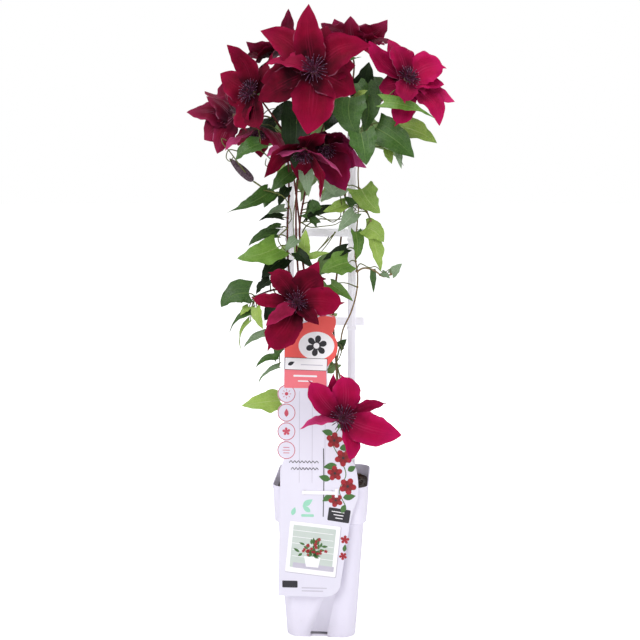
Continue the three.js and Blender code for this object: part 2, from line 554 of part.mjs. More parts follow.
/** The first placed solid of another node that this one would cross. */
function crossing(body, node, everyNode = false) {
  const bounds = body.boundingBox();
  for (const other of placed) {
    if (other.node === node && !(everyNode && other.own)) continue;
    if (apart(bounds, other.box)) continue;
    if (body.intersect(other.body).volume() > 1e-4) return other;
  }
  return null;
}

/** Bends the blade clear of what is already placed, by the least that does. */
function settle(b, node, label) {
  const face = bladeFrame(b, 0.5).normal;
  const side = bladeFrame(b, 0.5).side;
  const tries = [];
  for (const scale of [1, 0.86, 0.72]) {
    for (const lift of [0, 4, -4, 8, -8, 12, -12, 17, -17, 23, -23]) {
      for (const sway of [0, 6, -6, 12, -12]) {
        tries.push({ scale, lift, sway, cost: Math.abs(lift) + 1.2 * Math.abs(sway) + 60 * (1 - scale) });
      }
    }
  }
  tries.sort((p, q) => p.cost - q.cost);
  for (const strict of [true, false]) {
    for (const t of tries) {
      if (strict && t.cost > 16) break;
      const base = V(b.base);
      const tip = V(b.tip).sub(base).multiplyScalar(t.scale).add(base)
        .addScaledVector(face, t.lift).addScaledVector(side, t.sway);
      const bent = { ...b, tip: tip.toArray(), width: b.width * t.scale };
      if (!crossing(bladeSolid(bent, BLADE + 2 * GAP), node, strict)) {
        return t.scale === 1 && !t.lift && !t.sway ? b : bent;
      }
    }
  }
  const hit = crossing(bladeSolid(b, BLADE + 2 * GAP), node);
  lost.push(`${label} on ${hit?.node}`);
  return b;
}

// ----------------------------------------------------------------- hard parts
function makePot() {
  const c = POT.corner, w = POT.wall;
  const inner = (half, z) => squareRing(half - w, z, c - w);
  let body = loft([
    squareRing(POT.footHalf, -POT.below, c),
    squareRing(POT.bodyTopHalf, POT.bodyTop, c),
    squareRing(POT.collarBaseHalf, POT.collarBase, c),
    squareRing(POT.rimHalf - POT.rimLip * 0.4, POT.height - 4, c),
    squareRing(POT.rimHalf, POT.height - 3, c),
    squareRing(POT.rimHalf, POT.height, c),
    squareRing(POT.rimHalf - w, POT.height, c - w),
    inner(POT.collarBaseHalf, POT.collarBase + w),
    inner(POT.bodyTopHalf, POT.bodyTop + w),
    inner(POT.footHalf + 0.15, POT.floor - POT.below),
  ]);
  const n = POT.notch, h = POT.footHalf;
  for (let q = 0; q < 4; q++) {
    const cut = new THREE.BoxGeometry(n.width, n.depth + 3, n.height + 2)
      .translate(-1.5, -(h - n.depth) - (n.depth + 3) / 2, n.height / 2 - 1 - POT.below)
      .rotateZ((q * Math.PI) / 2);
    body = body.subtract(solid(cut));
  }
  return body;
}

function makeSoil() {
  const w = POT.wall + GAP, c = POT.corner - w;
  const rimAt = (z) => THREE.MathUtils.mapLinear(z, POT.collarBase, POT.height, POT.collarBaseHalf, POT.rimHalf);
  let body = loft([
    squareRing(POT.footHalf + 0.1 - w, POT.floor - POT.below + GAP, c),
    squareRing(POT.bodyTopHalf - w, POT.bodyTop + w, c),
    squareRing(POT.collarBaseHalf - w, POT.collarBase + w + 0.2, c),
    squareRing(rimAt(SOIL.top) - w, SOIL.top, c),
  ]);
  const hole = SOIL.hole;
  for (const { root } of Object.values(STEMS)) {
    const r = STEM.main + hole;
    const bore = new THREE.CylinderGeometry(r, r, 30, 8).rotateX(Math.PI / 2)
      .translate(root[0], root[1], SOIL.top);
    body = body.subtract(solid(bore));
  }
  for (const x of TRELLIS.uprights) {
    const hw = TRELLIS.width / 2 + hole, hd = TRELLIS.depth / 2 + hole;
    body = body.subtract(box(x - hw, x + hw, TRELLIS.y - hd, TRELLIS.y + hd, TRELLIS.foot - hole, SOIL.top + 10));
  }
  return body;
}

function makeTrellis() {
  const t = TRELLIS, parts = [];
  for (const x of t.uprights) {
    parts.push(box(x - t.width / 2, x + t.width / 2, t.y - t.depth / 2, t.y + t.depth / 2, t.foot, t.top));
  }
  const x0 = t.uprights[0] - t.width / 2 - t.overhang, x1 = t.uprights[1] + t.width / 2 + t.overhang;
  for (const z of t.rungs) {
    parts.push(box(x0, x1, t.y - t.rungDepth / 2, t.y + t.rungDepth / 2, z - t.rungHeight / 2, z + t.rungHeight / 2));
    for (const x of t.uprights) {
      const top = z - t.rungHeight / 2 - 1;
      parts.push(box(x - t.band.width / 2, x + t.band.width / 2, t.y - t.band.depth / 2, t.y + t.band.depth / 2,
        top - t.band.height, top));
    }
  }
  return join(parts);
}

function makeLabel() {
  const shape = new THREE.Shape();
  shape.moveTo(-46, 45);
  shape.lineTo(5, 45);
  shape.quadraticCurveTo(20, 46, 23, 58);
  shape.lineTo(33, 128);
  shape.quadraticCurveTo(36, 144, 42, 158);
  shape.quadraticCurveTo(44, 176, 40, 192);
  shape.quadraticCurveTo(28, 216, 24, 240);
  shape.quadraticCurveTo(16, 262, 9, 274);
  shape.lineTo(8, 300);
  shape.absarc(-3, 324, 22, -0.9, 0.75, false);
  shape.quadraticCurveTo(20, 352, 15, 358);
  shape.quadraticCurveTo(2, 362, -10, 354);
  shape.quadraticCurveTo(-28, 350, -39, 336);
  shape.lineTo(-39.5, 284);
  const tabs = [273, 252.5, 232, 211.5];
  for (const z of tabs) shape.absarc(-36.3, z, 10, 1.85, -1.85 + 2 * Math.PI, false);
  shape.lineTo(-43, 190);
  shape.lineTo(-43, 172);
  shape.lineTo(-46, 64);
  shape.closePath();
  const slab = new THREE.ExtrudeGeometry(shape, { depth: 40, bevelEnabled: false, curveSegments: 4 })
    .rotateX(Math.PI / 2).translate(0, -30, 0);
  const lean = LABEL.lean, h = LABEL.thickness / 2;
  const bend = new THREE.Shape();
  bend.moveTo(lean[0][0] - h, lean[0][1]);
  for (const [y, z] of lean.slice(1)) bend.lineTo(y - h, z);
  for (const [y, z] of [...lean].reverse()) bend.lineTo(y + h, z);
  bend.closePath();
  const turn = new THREE.Matrix4().makeBasis(V([0, 1, 0]), V([0, 0, 1]), V([1, 0, 0]));
  const sheet = new THREE.ExtrudeGeometry(bend, { depth: 120, bevelEnabled: false })
    .applyMatrix4(turn).translate(-60, 0, 0);
  let body = solid(slab).intersect(solid(sheet));
  const s = LABEL.slot;
  for (const x of s.x) {
    body = body.subtract(box(x - s.width / 2, x + s.width / 2, -62, -50, s.z - s.height / 2, s.z + s.height / 2));
  }
  return body;
}

function makeClip() {
  const s = LABEL.slot, t = CLIP.thickness, z0 = s.z - CLIP.strap / 2, z1 = s.z + CLIP.strap / 2;
  const front = -58.1, back = -(POT.rimHalf + GAP + t), half = 0.5;
  const parts = [
    box(-19, 19, front, front + t, z0, z1),
    box(17, 20.5, front - 0.2, front + t, s.z - CLIP.tee / 2, s.z + CLIP.tee / 2),
  ];
  for (const x of s.x) {
    parts.push(box(x - half, x + half, front + t - 0.2, back + t, z0, z1));
    parts.push(box(x - 2.5, x + 2.5, back, back + t, z0, POT.height + GAP + t));
    parts.push(box(x - 2.5, x + 2.5, back, -(POT.rimHalf - POT.wall) + GAP + t, POT.height + GAP, POT.height + GAP + t));
    parts.push(box(x - 2.5, x + 2.5, -(POT.rimHalf - POT.wall) + GAP + 0.2, -(POT.rimHalf - POT.wall) + GAP + t + 0.2,
      POT.height - 7, POT.height + GAP + t));
  }
  return join(parts);
}

// ------------------------------------------------------------------ the plant
function turned(geometry, axis, at) {
  const q = new THREE.Quaternion().setFromUnitVectors(new THREE.Vector3(0, 1, 0), axis);
  return geometry.applyQuaternion(q).translate(at.x, at.y, at.z);
}

function makeHub(bloom) {
  const axis = V(bloom.axis).normalize();
  const mid = V(bloom.centre).addScaledVector(axis, -HUB.depth / 2);
  return solid(turned(new THREE.CylinderGeometry(HUB.radius, HUB.radius * 0.72, HUB.depth, 7), axis, mid));
}

function makeStamens(bloom, steep) {
  const axis = V(bloom.axis).normalize();
  const foot = V(bloom.centre).addScaledVector(axis, GAP);
  const parts = [solid(turned(
    new THREE.CylinderGeometry(STAMEN.core * 0.55, STAMEN.core, STAMEN.coreHeight, 6),
    axis, foot.clone().addScaledVector(axis, STAMEN.coreHeight / 2),
  ))];
  const q = new THREE.Quaternion().setFromUnitVectors(new THREE.Vector3(0, 1, 0), axis);
  for (const { count, rise, length, turn } of [
    { count: 6, rise: steep, length: bloom.reach, turn: 0 },
    { count: 3, rise: 70, length: bloom.reach * 0.8, turn: 0.4 },
  ]) {
    for (let i = 0; i < count; i++) {
      const a = turn + (i / count) * 2 * Math.PI, e = THREE.MathUtils.degToRad(rise);
      const dir = V([Math.cos(a) * Math.cos(e), Math.sin(e), Math.sin(a) * Math.cos(e)]).applyQuaternion(q);
      const mid = foot.clone().addScaledVector(axis, 1.8).addScaledVector(dir, 0.5 + length / 2);
      parts.push(solid(turned(new THREE.CylinderGeometry(STAMEN.radius, STAMEN.radius, length, 3), dir, mid)));
    }
  }
  return join(parts);
}

function makeBud() {
  const foot = V([-74, -30.3, 503.4]), tip = V([-99, -30, 527]);
  const axis = tip.clone().sub(foot).normalize();
  const length = foot.distanceTo(tip);
  const profile = [[0, 0], [2.6, 0], [4.4, 0.14], [5.2, 0.36], [4.6, 0.6], [2.7, 0.84], [0.7, 0.98], [0, 1]]
    .map(([r, t]) => new THREE.Vector2(r, t * length));
  return solid(turned(new THREE.LatheGeometry(profile, 8), axis, foot));
}

const group = new THREE.Group();
group.name = "clematis";

const hard = {
  pot: [makePot(), FINISH.pot()],
  soil: [makeSoil(), FINISH.soil()],
  trellis: [makeTrellis(), FINISH.trellis()],
  label: [makeLabel(), FINISH.label()],
  label_clip: [makeClip(), FINISH.clip()],
  bud: [makeBud(), FINISH.bud()],
};
for (const [name, [body, material]] of Object.entries(hard)) {
  place(name, body);
  group.add(mesh(name, body, material));
}

const NODDING = new Set(["f", "g", "h", "k"]);
const bloomParts = {};
for (const [key, bloom] of Object.entries(BLOOMS)) {
  const hub = makeHub(bloom);
  const stamens = makeStamens(bloom, NODDING.has(key) ? 62 : 40);
  bloomParts[key] = [hub];
  place(`bloom_${key}`, hub);
  place(`stamens_${key}`, stamens);
  group.add(mesh(`stamens_${key}`, stamens, FINISH.stamens()));
}

/** The last two points of a flower stalk, square on to the back of the hub. */
function stalkEnd(key) {
  const { centre, axis } = BLOOMS[key];
  const out = V(axis).normalize();
  return [8, GAP].map((back) => V(centre).addScaledVector(out, -HUB.depth - back).toArray());
}

const stemParts = {}, stemPaths = {};
for (const [key, stem] of Object.entries(STEMS)) {
  const [x, y] = stem.root;
  const main = tube([[x, y, SOIL.top - 12], ...stem.main], stem.radius ?? STEM.main, 5, 2 * stem.main.length);
  stemParts[key] = [main.body];
  stemPaths[key] = [main.path];
  for (const b of stem.branches) {
    const near = main.path.getSpacedPoints(200)
      .reduce((best, p) => (p.distanceTo(V(b.from)) < best.distanceTo(V(b.from)) ? p : best));
    const points = [near.toArray(), ...b.via, ...(b.bloom ? stalkEnd(b.bloom) : [b.to])];
    const branch = tube(points, STEM.pedicel, 4, 2 * (points.length - 1));
    stemParts[key].push(branch.body);
    stemPaths[key].push(branch.path);
  }
  const body = join(stemParts[key]);
  stemParts[key] = [body];
  const hit = crossing(body, key);
  if (hit) lost.push(`stem ${key} on ${hit.node}`);
  place(key, body);
}

/** Petiole from the nearest point of the stem to the leaf's foot, bent clear. */
function makePetiole(key, blade, label) {
  const base = V(blade.base);
  const spots = stemPaths[key].flatMap((path) => path.getSpacedPoints(60).slice(4, -1))
    .map((p) => ({ p, d: p.distanceTo(base) + 0.35 * Math.max(0, p.z - base.z) }))
    .sort((a, b) => a.d - b.d);
  const pierce = bladeFrame(blade, 0.14);
  const end = pierce.at.clone().addScaledVector(pierce.normal, 0.15);
  const under = bladeFrame(blade, 0).at.clone().addScaledVector(pierce.normal, -1.6).toArray();
  for (const spot of [spots[0], spots[2], spots[5], spots[9]]) {
    if (!spot) continue;
    for (const [dx, dy, dz] of [[0, 0, 0], [0, -5, 4], [0, 5, 4], [5, 0, 3], [-5, 0, 3], [0, -10, 0], [0, 10, 0],
      [9, 0, 6], [-9, 0, 6], [0, 0, 12], [0, -8, 12], [0, 8, 12], [14, 0, 0], [-14, 0, 0], [0, 0, -12]]) {
      const mid = spot.p.clone().lerp(base, 0.5).add(V([dx, dy, dz + Math.min(4, spot.d * 0.1)]));
      const stalk = tube([spot.p.toArray(), mid.toArray(), under, end.toArray()], STEM.petiole, 3, spot.d > 16 ? 3 : 2);
      const guard = tube([spot.p.toArray(), mid.toArray(), under, end.toArray()], STEM.petiole + GAP * 1.4, 4, 4);
      if (!crossing(guard.body, key)) return stalk.body;
    }
  }
  lost.push(`petiole ${label}`);
  return tube([spots[0].p.toArray(), under, end.toArray()], STEM.petiole, 3, 3).body;
}

const blades = LEAVES.map(([key, base, tip, width, hint, arch, roll, fold, bow = 0], i) =>
  ({ key, label: `leaf ${i} ${key}`, kind: "leaf", base, tip, width, hint, arch, curl: 0, roll, fold, bow }));
for (const b of blades) {
  const stalk = makePetiole(b.key, b, b.label);
  stemParts[b.key].push(stalk);
  place(b.key, stalk);
}

for (const [key, bloom] of Object.entries(BLOOMS)) {
  const axis = V(bloom.axis).normalize();
  bloom.tepals.forEach(([x, y, z, width, arch, curl, roll, fold, bow = 0, kind = "tepal"], i) => {
    const root = V(bloom.centre).addScaledVector(axis, i % 2 ? -5.6 : -2);
    const out = V([x, y, z]).sub(root);
    out.addScaledVector(axis, -out.dot(axis)).normalize();
    const base = root.addScaledVector(out, 2).toArray();
    const tepal = settle({ kind, base, tip: [x, y, z], hint: bloom.axis, width, arch, curl, roll, fold, bow },
      `bloom_${key}`, `tepal ${key}${i}`);
    const body = bladeSolid(tepal);
    bloomParts[key].push(body);
    place(`bloom_${key}`, body);
  });
}

for (const b of blades) {
  const leaf = settle(b, b.key, b.label);
  let body = bladeSolid(leaf);
  if (leaf !== b) {
    const hold = bladeFrame(leaf, 0.14);
    const under = bladeFrame(b, 0).at.clone().addScaledVector(bladeFrame(b, 0.14).normal, -1.6);
    body = body.add(tube([under.toArray(), hold.at.clone().addScaledVector(hold.normal, 0.15).toArray()],
      STEM.petiole, 3, 1).body);
  }
  stemParts[b.key].push(body);
  place(b.key, body, b.label);
}

if (lost.length) throw new Error(`no clear place for: ${lost.join("; ")}`);

for (const key of Object.keys(BLOOMS)) {
  group.add(mesh(`bloom_${key}`, join(bloomParts[key]), FINISH.bloom()));
}
const STEM_NAMES = {
  left: "leafy_stem_left", centre: "leafy_stem_centre", middle: "leafy_stem_middle",
  right: "leafy_stem_right", rearRight: "leafy_stem_rear_right", rearLeft: "leafy_stem_rear_left",
};
for (const [key, name] of Object.entries(STEM_NAMES)) {
  group.add(mesh(name, join(stemParts[key]), FINISH.leaf()));
}

group.position.z = POT.below;
const plant = new THREE.Group();
plant.add(group);

export default plant;
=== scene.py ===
"""Clematis in bloom on a ladder trellis, standing in its square nursery pot.

Sizes in the classes are millimetres, with +Z up and the plant label facing -Y.
Meshes are built in millimetres and turned to metres when they become objects.
"""

import logging
import random
from dataclasses import dataclass
from enum import Enum
from functools import cache
from math import ceil, cos, degrees, dist, exp, hypot, pi, radians, sin, sqrt
from typing import Callable, Dict, Iterable, List, Optional, Sequence, Tuple

import bmesh
import bpy
import numpy as np
from bpy.types import Material, Node, NodeSocket, NodeTree, Object
from mathutils import Matrix, Vector, noise
from mathutils.geometry import tessellate_polygon

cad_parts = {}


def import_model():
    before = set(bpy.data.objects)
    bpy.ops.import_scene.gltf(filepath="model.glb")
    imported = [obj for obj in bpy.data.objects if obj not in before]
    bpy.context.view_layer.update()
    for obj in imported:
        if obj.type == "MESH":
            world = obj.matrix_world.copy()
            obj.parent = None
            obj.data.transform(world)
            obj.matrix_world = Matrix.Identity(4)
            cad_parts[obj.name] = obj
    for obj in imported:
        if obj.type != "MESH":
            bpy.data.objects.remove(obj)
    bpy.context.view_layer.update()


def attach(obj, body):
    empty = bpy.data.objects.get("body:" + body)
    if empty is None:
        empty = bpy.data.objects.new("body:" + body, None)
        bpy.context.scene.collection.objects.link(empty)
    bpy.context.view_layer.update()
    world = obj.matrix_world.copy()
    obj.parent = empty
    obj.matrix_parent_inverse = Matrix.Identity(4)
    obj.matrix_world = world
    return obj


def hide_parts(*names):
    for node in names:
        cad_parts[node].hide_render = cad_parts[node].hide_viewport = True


LOG = logging.getLogger("clematis")
MM = 0.001
BELOW = 7.5  # heights are measured from a datum this far above the foot, in mm
TEPAL_RIB = 0.17  # share of the way from a tepal's middle to its edge
LEAF_VEINS = (0.38, 0.74)  # shares of the way from a leaf's middle to its edge

Array = np.ndarray
Face = Tuple[int, ...]
Point = Tuple[float, float, float]
Flat = Tuple[float, float]
Colour = Tuple[float, float, float]

UP = np.array([0, 0, 1.0])


# ---- maths ----


def unit(v: Array) -> Array:
    """Returns the vectors of an array scaled to length one."""
    length = np.linalg.norm(v, axis=-1, keepdims=True)
    return v / np.maximum(length, 1e-9)


def smooth_path(points: Sequence[Point], per_span: int) -> Array:
    """Runs a centripetal Catmull-Rom curve through the points.

    Args:
        points: The points that the curve goes through, in order.
        per_span: How many steps lie between two neighbouring points.

    Returns:
        The points along the curve, one row each.
    """
    p = [np.array(q, float) for q in points]
    p = [2 * p[0] - p[1], *p, 2 * p[-1] - p[-2]]
    out = []
    for i in range(1, len(p) - 2):
        a, b, c, d = p[i - 1], p[i], p[i + 1], p[i + 2]
        da, db, dc = (max(np.linalg.norm(v - u), 1e-6) ** 0.5 for u, v in ((a, b), (b, c), (c, d)))
        t1 = ((b - a) / da - (c - a) / (da + db) + (c - b) / db) * db
        t2 = ((c - b) / db - (d - b) / (db + dc) + (d - c) / dc) * db
        for k in range(per_span):
            s = k / per_span
            out.append(
                (2 * s**3 - 3 * s**2 + 1) * b + (s**3 - 2 * s**2 + s) * t1
                + (3 * s**2 - 2 * s**3) * c + (s**3 - s**2) * t2
            )
    out.append(p[-2])
    return np.array(out)


def basis(axis: Sequence[float]) -> Array:
    """Returns the turn that brings +Z onto an axis."""
    return np.array(Vector(axis).to_track_quat("Z", "Y").to_matrix())


def spread(middle: float, width: float) -> Flat:
    """Returns the two ends of a stretch round a middle."""
    return middle - width / 2, middle + width / 2


def rounded(wide: float, high: float, corner: float, steps: int) -> List[Flat]:
    """Returns a rectangle with round corners as a loop round its middle.

    Args:
        wide: Its width.
        high: Its height.
        corner: Radius of the corners.
        steps: Steps round each corner.
    """
    loop = []
    for q, (sx, sy) in enumerate(((1, 1), (-1, 1), (-1, -1), (1, -1))):
        for i in range(steps + 1):
            a = (q + i / steps) * pi / 2
            x, y = sx * (wide / 2 - corner), sy * (high / 2 - corner)
            loop.append((x + corner * cos(a), y + corner * sin(a)))
    return loop


def bump(x: Array, middle: float, width: float) -> Array:
    """Returns a smooth rise of height one round a place."""
    return np.exp(-(((x - middle) / width) ** 2))


# ---- meshes ----


class MeshBook:
    """Gathers vertices and faces in millimetres, then makes one object."""

    def __init__(self) -> None:
        """Starts an empty book."""
        self.verts: List[Array] = []
        self.uvs: List[Array] = []
        self.tones: List[Array] = []
        self.faces: List[Face] = []
        self.slots: List[int] = []
        self.count = 0

    def add(
        self, verts: Array, faces: Sequence[Sequence[int]], slot: "int | Sequence[int]" = 0,
        uv: Optional[Array] = None, tone: float = 0.5,
    ) -> None:
        """Adds one shell.

        Args:
            verts: Corner positions, one row each.
            faces: Corner numbers of each face.
            slot: Material slot of the faces, or one number for each face.
            uv: Surface coordinates of the corners.
            tone: A number from 0 to 1 that sets this shell's own shade.
        """
        verts = np.asarray(verts, float).reshape(-1, 3)
        n = len(verts)
        self.verts.append(verts)
        self.uvs.append(np.zeros((n, 2)) if uv is None else np.asarray(uv, float))
        self.tones.append(np.full(n, tone))
        self.faces += [tuple(int(i) + self.count for i in f) for f in faces]
        self.slots += [slot] * len(faces) if isinstance(slot, int) else list(slot)
        self.count += n

    def make(self, name: str, finishes: Sequence["Finish"], crease: float = 40) -> Object:
        """Makes the object in the scene.

        Args:
            name: Name of the piece.
            finishes: The finishes of its material slots, in order.
            crease: Faces that meet at more than this many degrees stay sharp.

        Returns:
            The new mesh object, in metres.
        """
        mesh = bpy.data.meshes.new(name)
        verts = (np.concatenate(self.verts) + (0, 0, BELOW)) * MM
        mesh.from_pydata(verts.tolist(), [], self.faces)
        for finish in finishes:
            mesh.materials.append(finish.material())
        mesh.polygons.foreach_set("material_index", np.array(self.slots, np.int32))
        mesh.polygons.foreach_set("use_smooth", np.ones(len(self.faces), bool))
        corner = np.empty(len(mesh.loops), np.int32)
        mesh.loops.foreach_get("vertex_index", corner)
        layer = mesh.uv_layers.new(name="blade")
        layer.data.foreach_set("uv", np.concatenate(self.uvs)[corner].astype(np.float32).ravel())
        tone = mesh.attributes.new("tone", "FLOAT", "POINT")
        tone.data.foreach_set("value", np.concatenate(self.tones).astype(np.float32))
        mesh.update()
        mesh.set_sharp_from_angle(angle=radians(crease))
        obj = bpy.data.objects.new(name, mesh)
        bpy.context.collection.objects.link(obj)
        return obj


def settle_piece(obj: Object, slot: str, *nodes: str) -> None:
    """Rides a finished piece on the plant's one body and reports it.

    Args:
        obj: The finished piece.
        slot: Not used.
        *nodes: The solids that it stands for.
    """
    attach(obj, "root")
    if nodes:
        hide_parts(*nodes)
    LOG.info("%s: %d faces, %s", obj.name, len(obj.data.polygons), ", ".join(nodes) or "extra")


def ring_faces(rings: int, sides: int) -> List[Face]:
    """Returns the faces of a closed body made of rings of corners.

    Args:
        rings: How many rings there are, from the foot up.
        sides: How many corners each ring has.

    Returns:
        The corner numbers of the faces between the rings and of both ends.
    """
    faces: List[Face] = []
    for i in range(rings - 1):
        for k in range(sides):
            a, b = i * sides + k, i * sides + (k + 1) % sides
            faces.append((a, b, b + sides, a + sides))
    faces.append(tuple(range(sides - 1, -1, -1)))
    faces.append(tuple((rings - 1) * sides + k for k in range(sides)))
    return faces


def add_tube(
    book: MeshBook, path: Array, radius: Callable[[Array], Array], sides: int = 8, slot: int = 0,
    tone: float = 0.5, grooves: float = 0.0,
) -> None:
    """Adds a round closed tube along a path.

    Args:
        book: The book that it goes into.
        path: Points of the centre line.
        radius: Gives the radius at each share of the way along.
        sides: How many corners the tube has round.
        slot: Material slot.
        tone: Its own shade, from 0 to 1.
        grooves: Depth of six lengthwise grooves, as a share of the radius.
    """
    n = len(path)
    tangent = unit(np.gradient(path, axis=0))
    normal = np.zeros_like(path)
    start = UP if abs(tangent[0][2]) < 0.9 else np.array([1.0, 0, 0])
    normal[0] = unit(np.cross(tangent[0], start))
    for i in range(1, n):
        normal[i] = unit(normal[i - 1] - tangent[i] * np.dot(normal[i - 1], tangent[i]))
    side = np.cross(tangent, normal)
    steps = np.concatenate([[0], np.cumsum(np.linalg.norm(np.diff(path, axis=0), axis=1))])
    share = steps / max(steps[-1], 1e-9)
    r = radius(share)
    verts, uv = [], []
    for k in range(sides):
        a = 2 * pi * k / sides
        ring = r * (1 - grooves * (0.5 + 0.5 * cos(6 * a)))
        verts.append(path + (normal * cos(a) + side * sin(a)) * ring[:, None])
        uv.append(np.stack([np.full(n, k / sides), steps / 10], axis=1))
    grid = np.stack(verts, axis=1).reshape(-1, 3)
    uvs = np.stack(uv, axis=1).reshape(-1, 2)
    book.add(grid, ring_faces(n, sides), slot, uvs, tone)


def add_turned(
    book: MeshBook, profile: Sequence[Flat], foot: Sequence[float], axis: Sequence[float], sides: int = 16,
    slot: int = 0, ribs: int = 0, rib_depth: float = 0.0, tone: float = 0.5,
) -> None:
    """Adds a turned body round an axis.

    Args:
        book: The book that it goes into.
        profile: Radius and height of each ring, from the foot up.
        foot: Where height 0 lies.
        axis: Direction of the heights.
        sides: How many corners each ring has.
        slot: Material slot.
        ribs: Number of lengthwise ribs.
        rib_depth: Their height as a share of the radius.
        tone: Its own shade, from 0 to 1.
    """
    turn = basis(axis)
    angle = np.arange(sides) / sides * 2 * pi
    verts, uv = [], []
    top = max(h for _, h in profile) or 1.0
    for r, h in profile:
        rr = r * (1 + rib_depth * np.cos(ribs * angle)) if ribs else np.full(sides, r)
        ring = np.stack([rr * np.cos(angle), rr * np.sin(angle), np.full(sides, h)], axis=1)
        verts.append(ring)
        uv.append(np.stack([angle / (2 * pi), np.full(sides, h / top)], axis=1))
    world = np.concatenate(verts) @ turn.T + np.array(foot)
    book.add(world, ring_faces(len(profile), sides), slot, np.concatenate(uv), tone)


def add_soft_box(
    book: MeshBook, low: Point, high: Point, bevel: float, slot: int = 0, segments: int = 2
) -> None:
    """Adds a moulded bar with rounded edges.

    Args:
        book: The book that it goes into.
        low: Lowest corner.
        high: Highest corner.
        bevel: Width of the rounded edge.
        slot: Material slot.
        segments: Steps across the rounding.
    """
    bm = bmesh.new()
    bmesh.ops.create_cube(bm, size=1)
    size = [h - l for l, h in zip(low, high)]
    bmesh.ops.scale(bm, vec=size, verts=bm.verts)
    bmesh.ops.translate(bm, vec=[(l + h) / 2 for l, h in zip(low, high)], verts=bm.verts)
    bmesh.ops.bevel(
        bm, geom=list(bm.edges), offset=min(bevel, min(size) * 0.45), segments=segments,
        profile=0.5, affect="EDGES",
    )
    bm.verts.index_update()
    verts = np.array([v.co[:] for v in bm.verts])
    faces = [[v.index for v in f.verts] for f in bm.faces]
    bm.free()
    book.add(verts, faces, slot)


# ---- shader graphs ----


def operation(name: str, swapped: bool = False) -> Callable[..., "Wire"]:
    """Returns a method that works out one operation of shader maths.

    Args:
        name: Blender's name for the operation.
        swapped: Whether the other number comes first.
    """

    def method(self: "Wire", *others: object) -> "Wire":
        """Returns the result of the operation on this number and the others."""
        return self.graph.math(name, *(*others, self) if swapped else (self, *others))

    return method


class Wire:
    """A number that changes over the surface, worked out by shader nodes."""

    __add__, __sub__, __mul__ = operation("ADD"), operation("SUBTRACT"), operation("MULTIPLY")
    __pow__, __abs__, __rsub__ = operation("POWER"), operation("ABSOLUTE"), operation("SUBTRACT", True)
    sine, most = operation("SINE"), operation("MAXIMUM")

    def __init__(self, graph: "Graph", socket: NodeSocket) -> None:
        """Takes the graph and the socket that the number comes from."""
        self.graph = graph
        self.socket = socket

    def clamp(self) -> "Wire":
        """Returns the number kept from 0 to 1."""
        return self.graph.math("ADD", self, 0, clamp=True)

    def ramp(self, low: object, high: object, to_low: float = 0, to_high: float = 1) -> "Wire":
        """Returns a smooth ramp from one range of numbers to another.

        Args:
            low: Where the ramp starts.
            high: Where it ends, which may be below its start.
            to_low: What it gives at the start and before.
            to_high: What it gives at the end and beyond.
        """
        node = self.graph.add("ShaderNodeMapRange", interpolation_type="SMOOTHSTEP")
        self.graph.feed_all(node, enumerate((self, low, high, to_low, to_high)))
        return Wire(self.graph, node.outputs[0])


class Graph:
    """Wires up one node tree."""

    def __init__(self, tree: NodeTree) -> None:
        """Takes the tree to work on."""
        self.tree = tree

    def add(self, kind: str, inputs: Optional[Dict[str, object]] = None, **settings: object) -> Node:
        """Adds a node.

        Args:
            kind: Blender's name for the node type.
            inputs: Values, wires or sockets for its inputs, by name.
            **settings: Properties of the node.

        Returns:
            The new node.
        """
        node = self.tree.nodes.new(kind)
        for key, value in settings.items():
            setattr(node, key, value)
        self.feed_all(node, (inputs or {}).items())
        return node

    def feed(self, socket: NodeSocket, value: object) -> None:
        """Links a wire or a socket to an input, or sets the input's value.

        Args:
            socket: The input.
            value: What goes into it.
        """
        value = value.socket if isinstance(value, Wire) else value
        if isinstance(value, NodeSocket):
            self.tree.links.new(value, socket)
        elif isinstance(value, tuple) and socket.type == "RGBA":
            socket.default_value = (*value, 1)
        else:
            socket.default_value = value

    def feed_all(self, node: Node, values: Iterable[Tuple["int | str", object]]) -> None:
        """Feeds several inputs of a node, given by their names or numbers."""
        for key, value in values:
            self.feed(node.inputs[key], value)

    def math(self, operation: str, *values: object, clamp: bool = False) -> Wire:
        """Returns the result of a math node.

        Args:
            operation: Blender's name for the operation.
            *values: Wires or numbers.
            clamp: Whether the result is kept from 0 to 1.
        """
        node = self.add("ShaderNodeMath", operation=operation, use_clamp=clamp)
        self.feed_all(node, enumerate(values))
        return Wire(self, node.outputs[0])


COLOUR, NUMBER = "NodeSocketColor", "NodeSocketFloat"


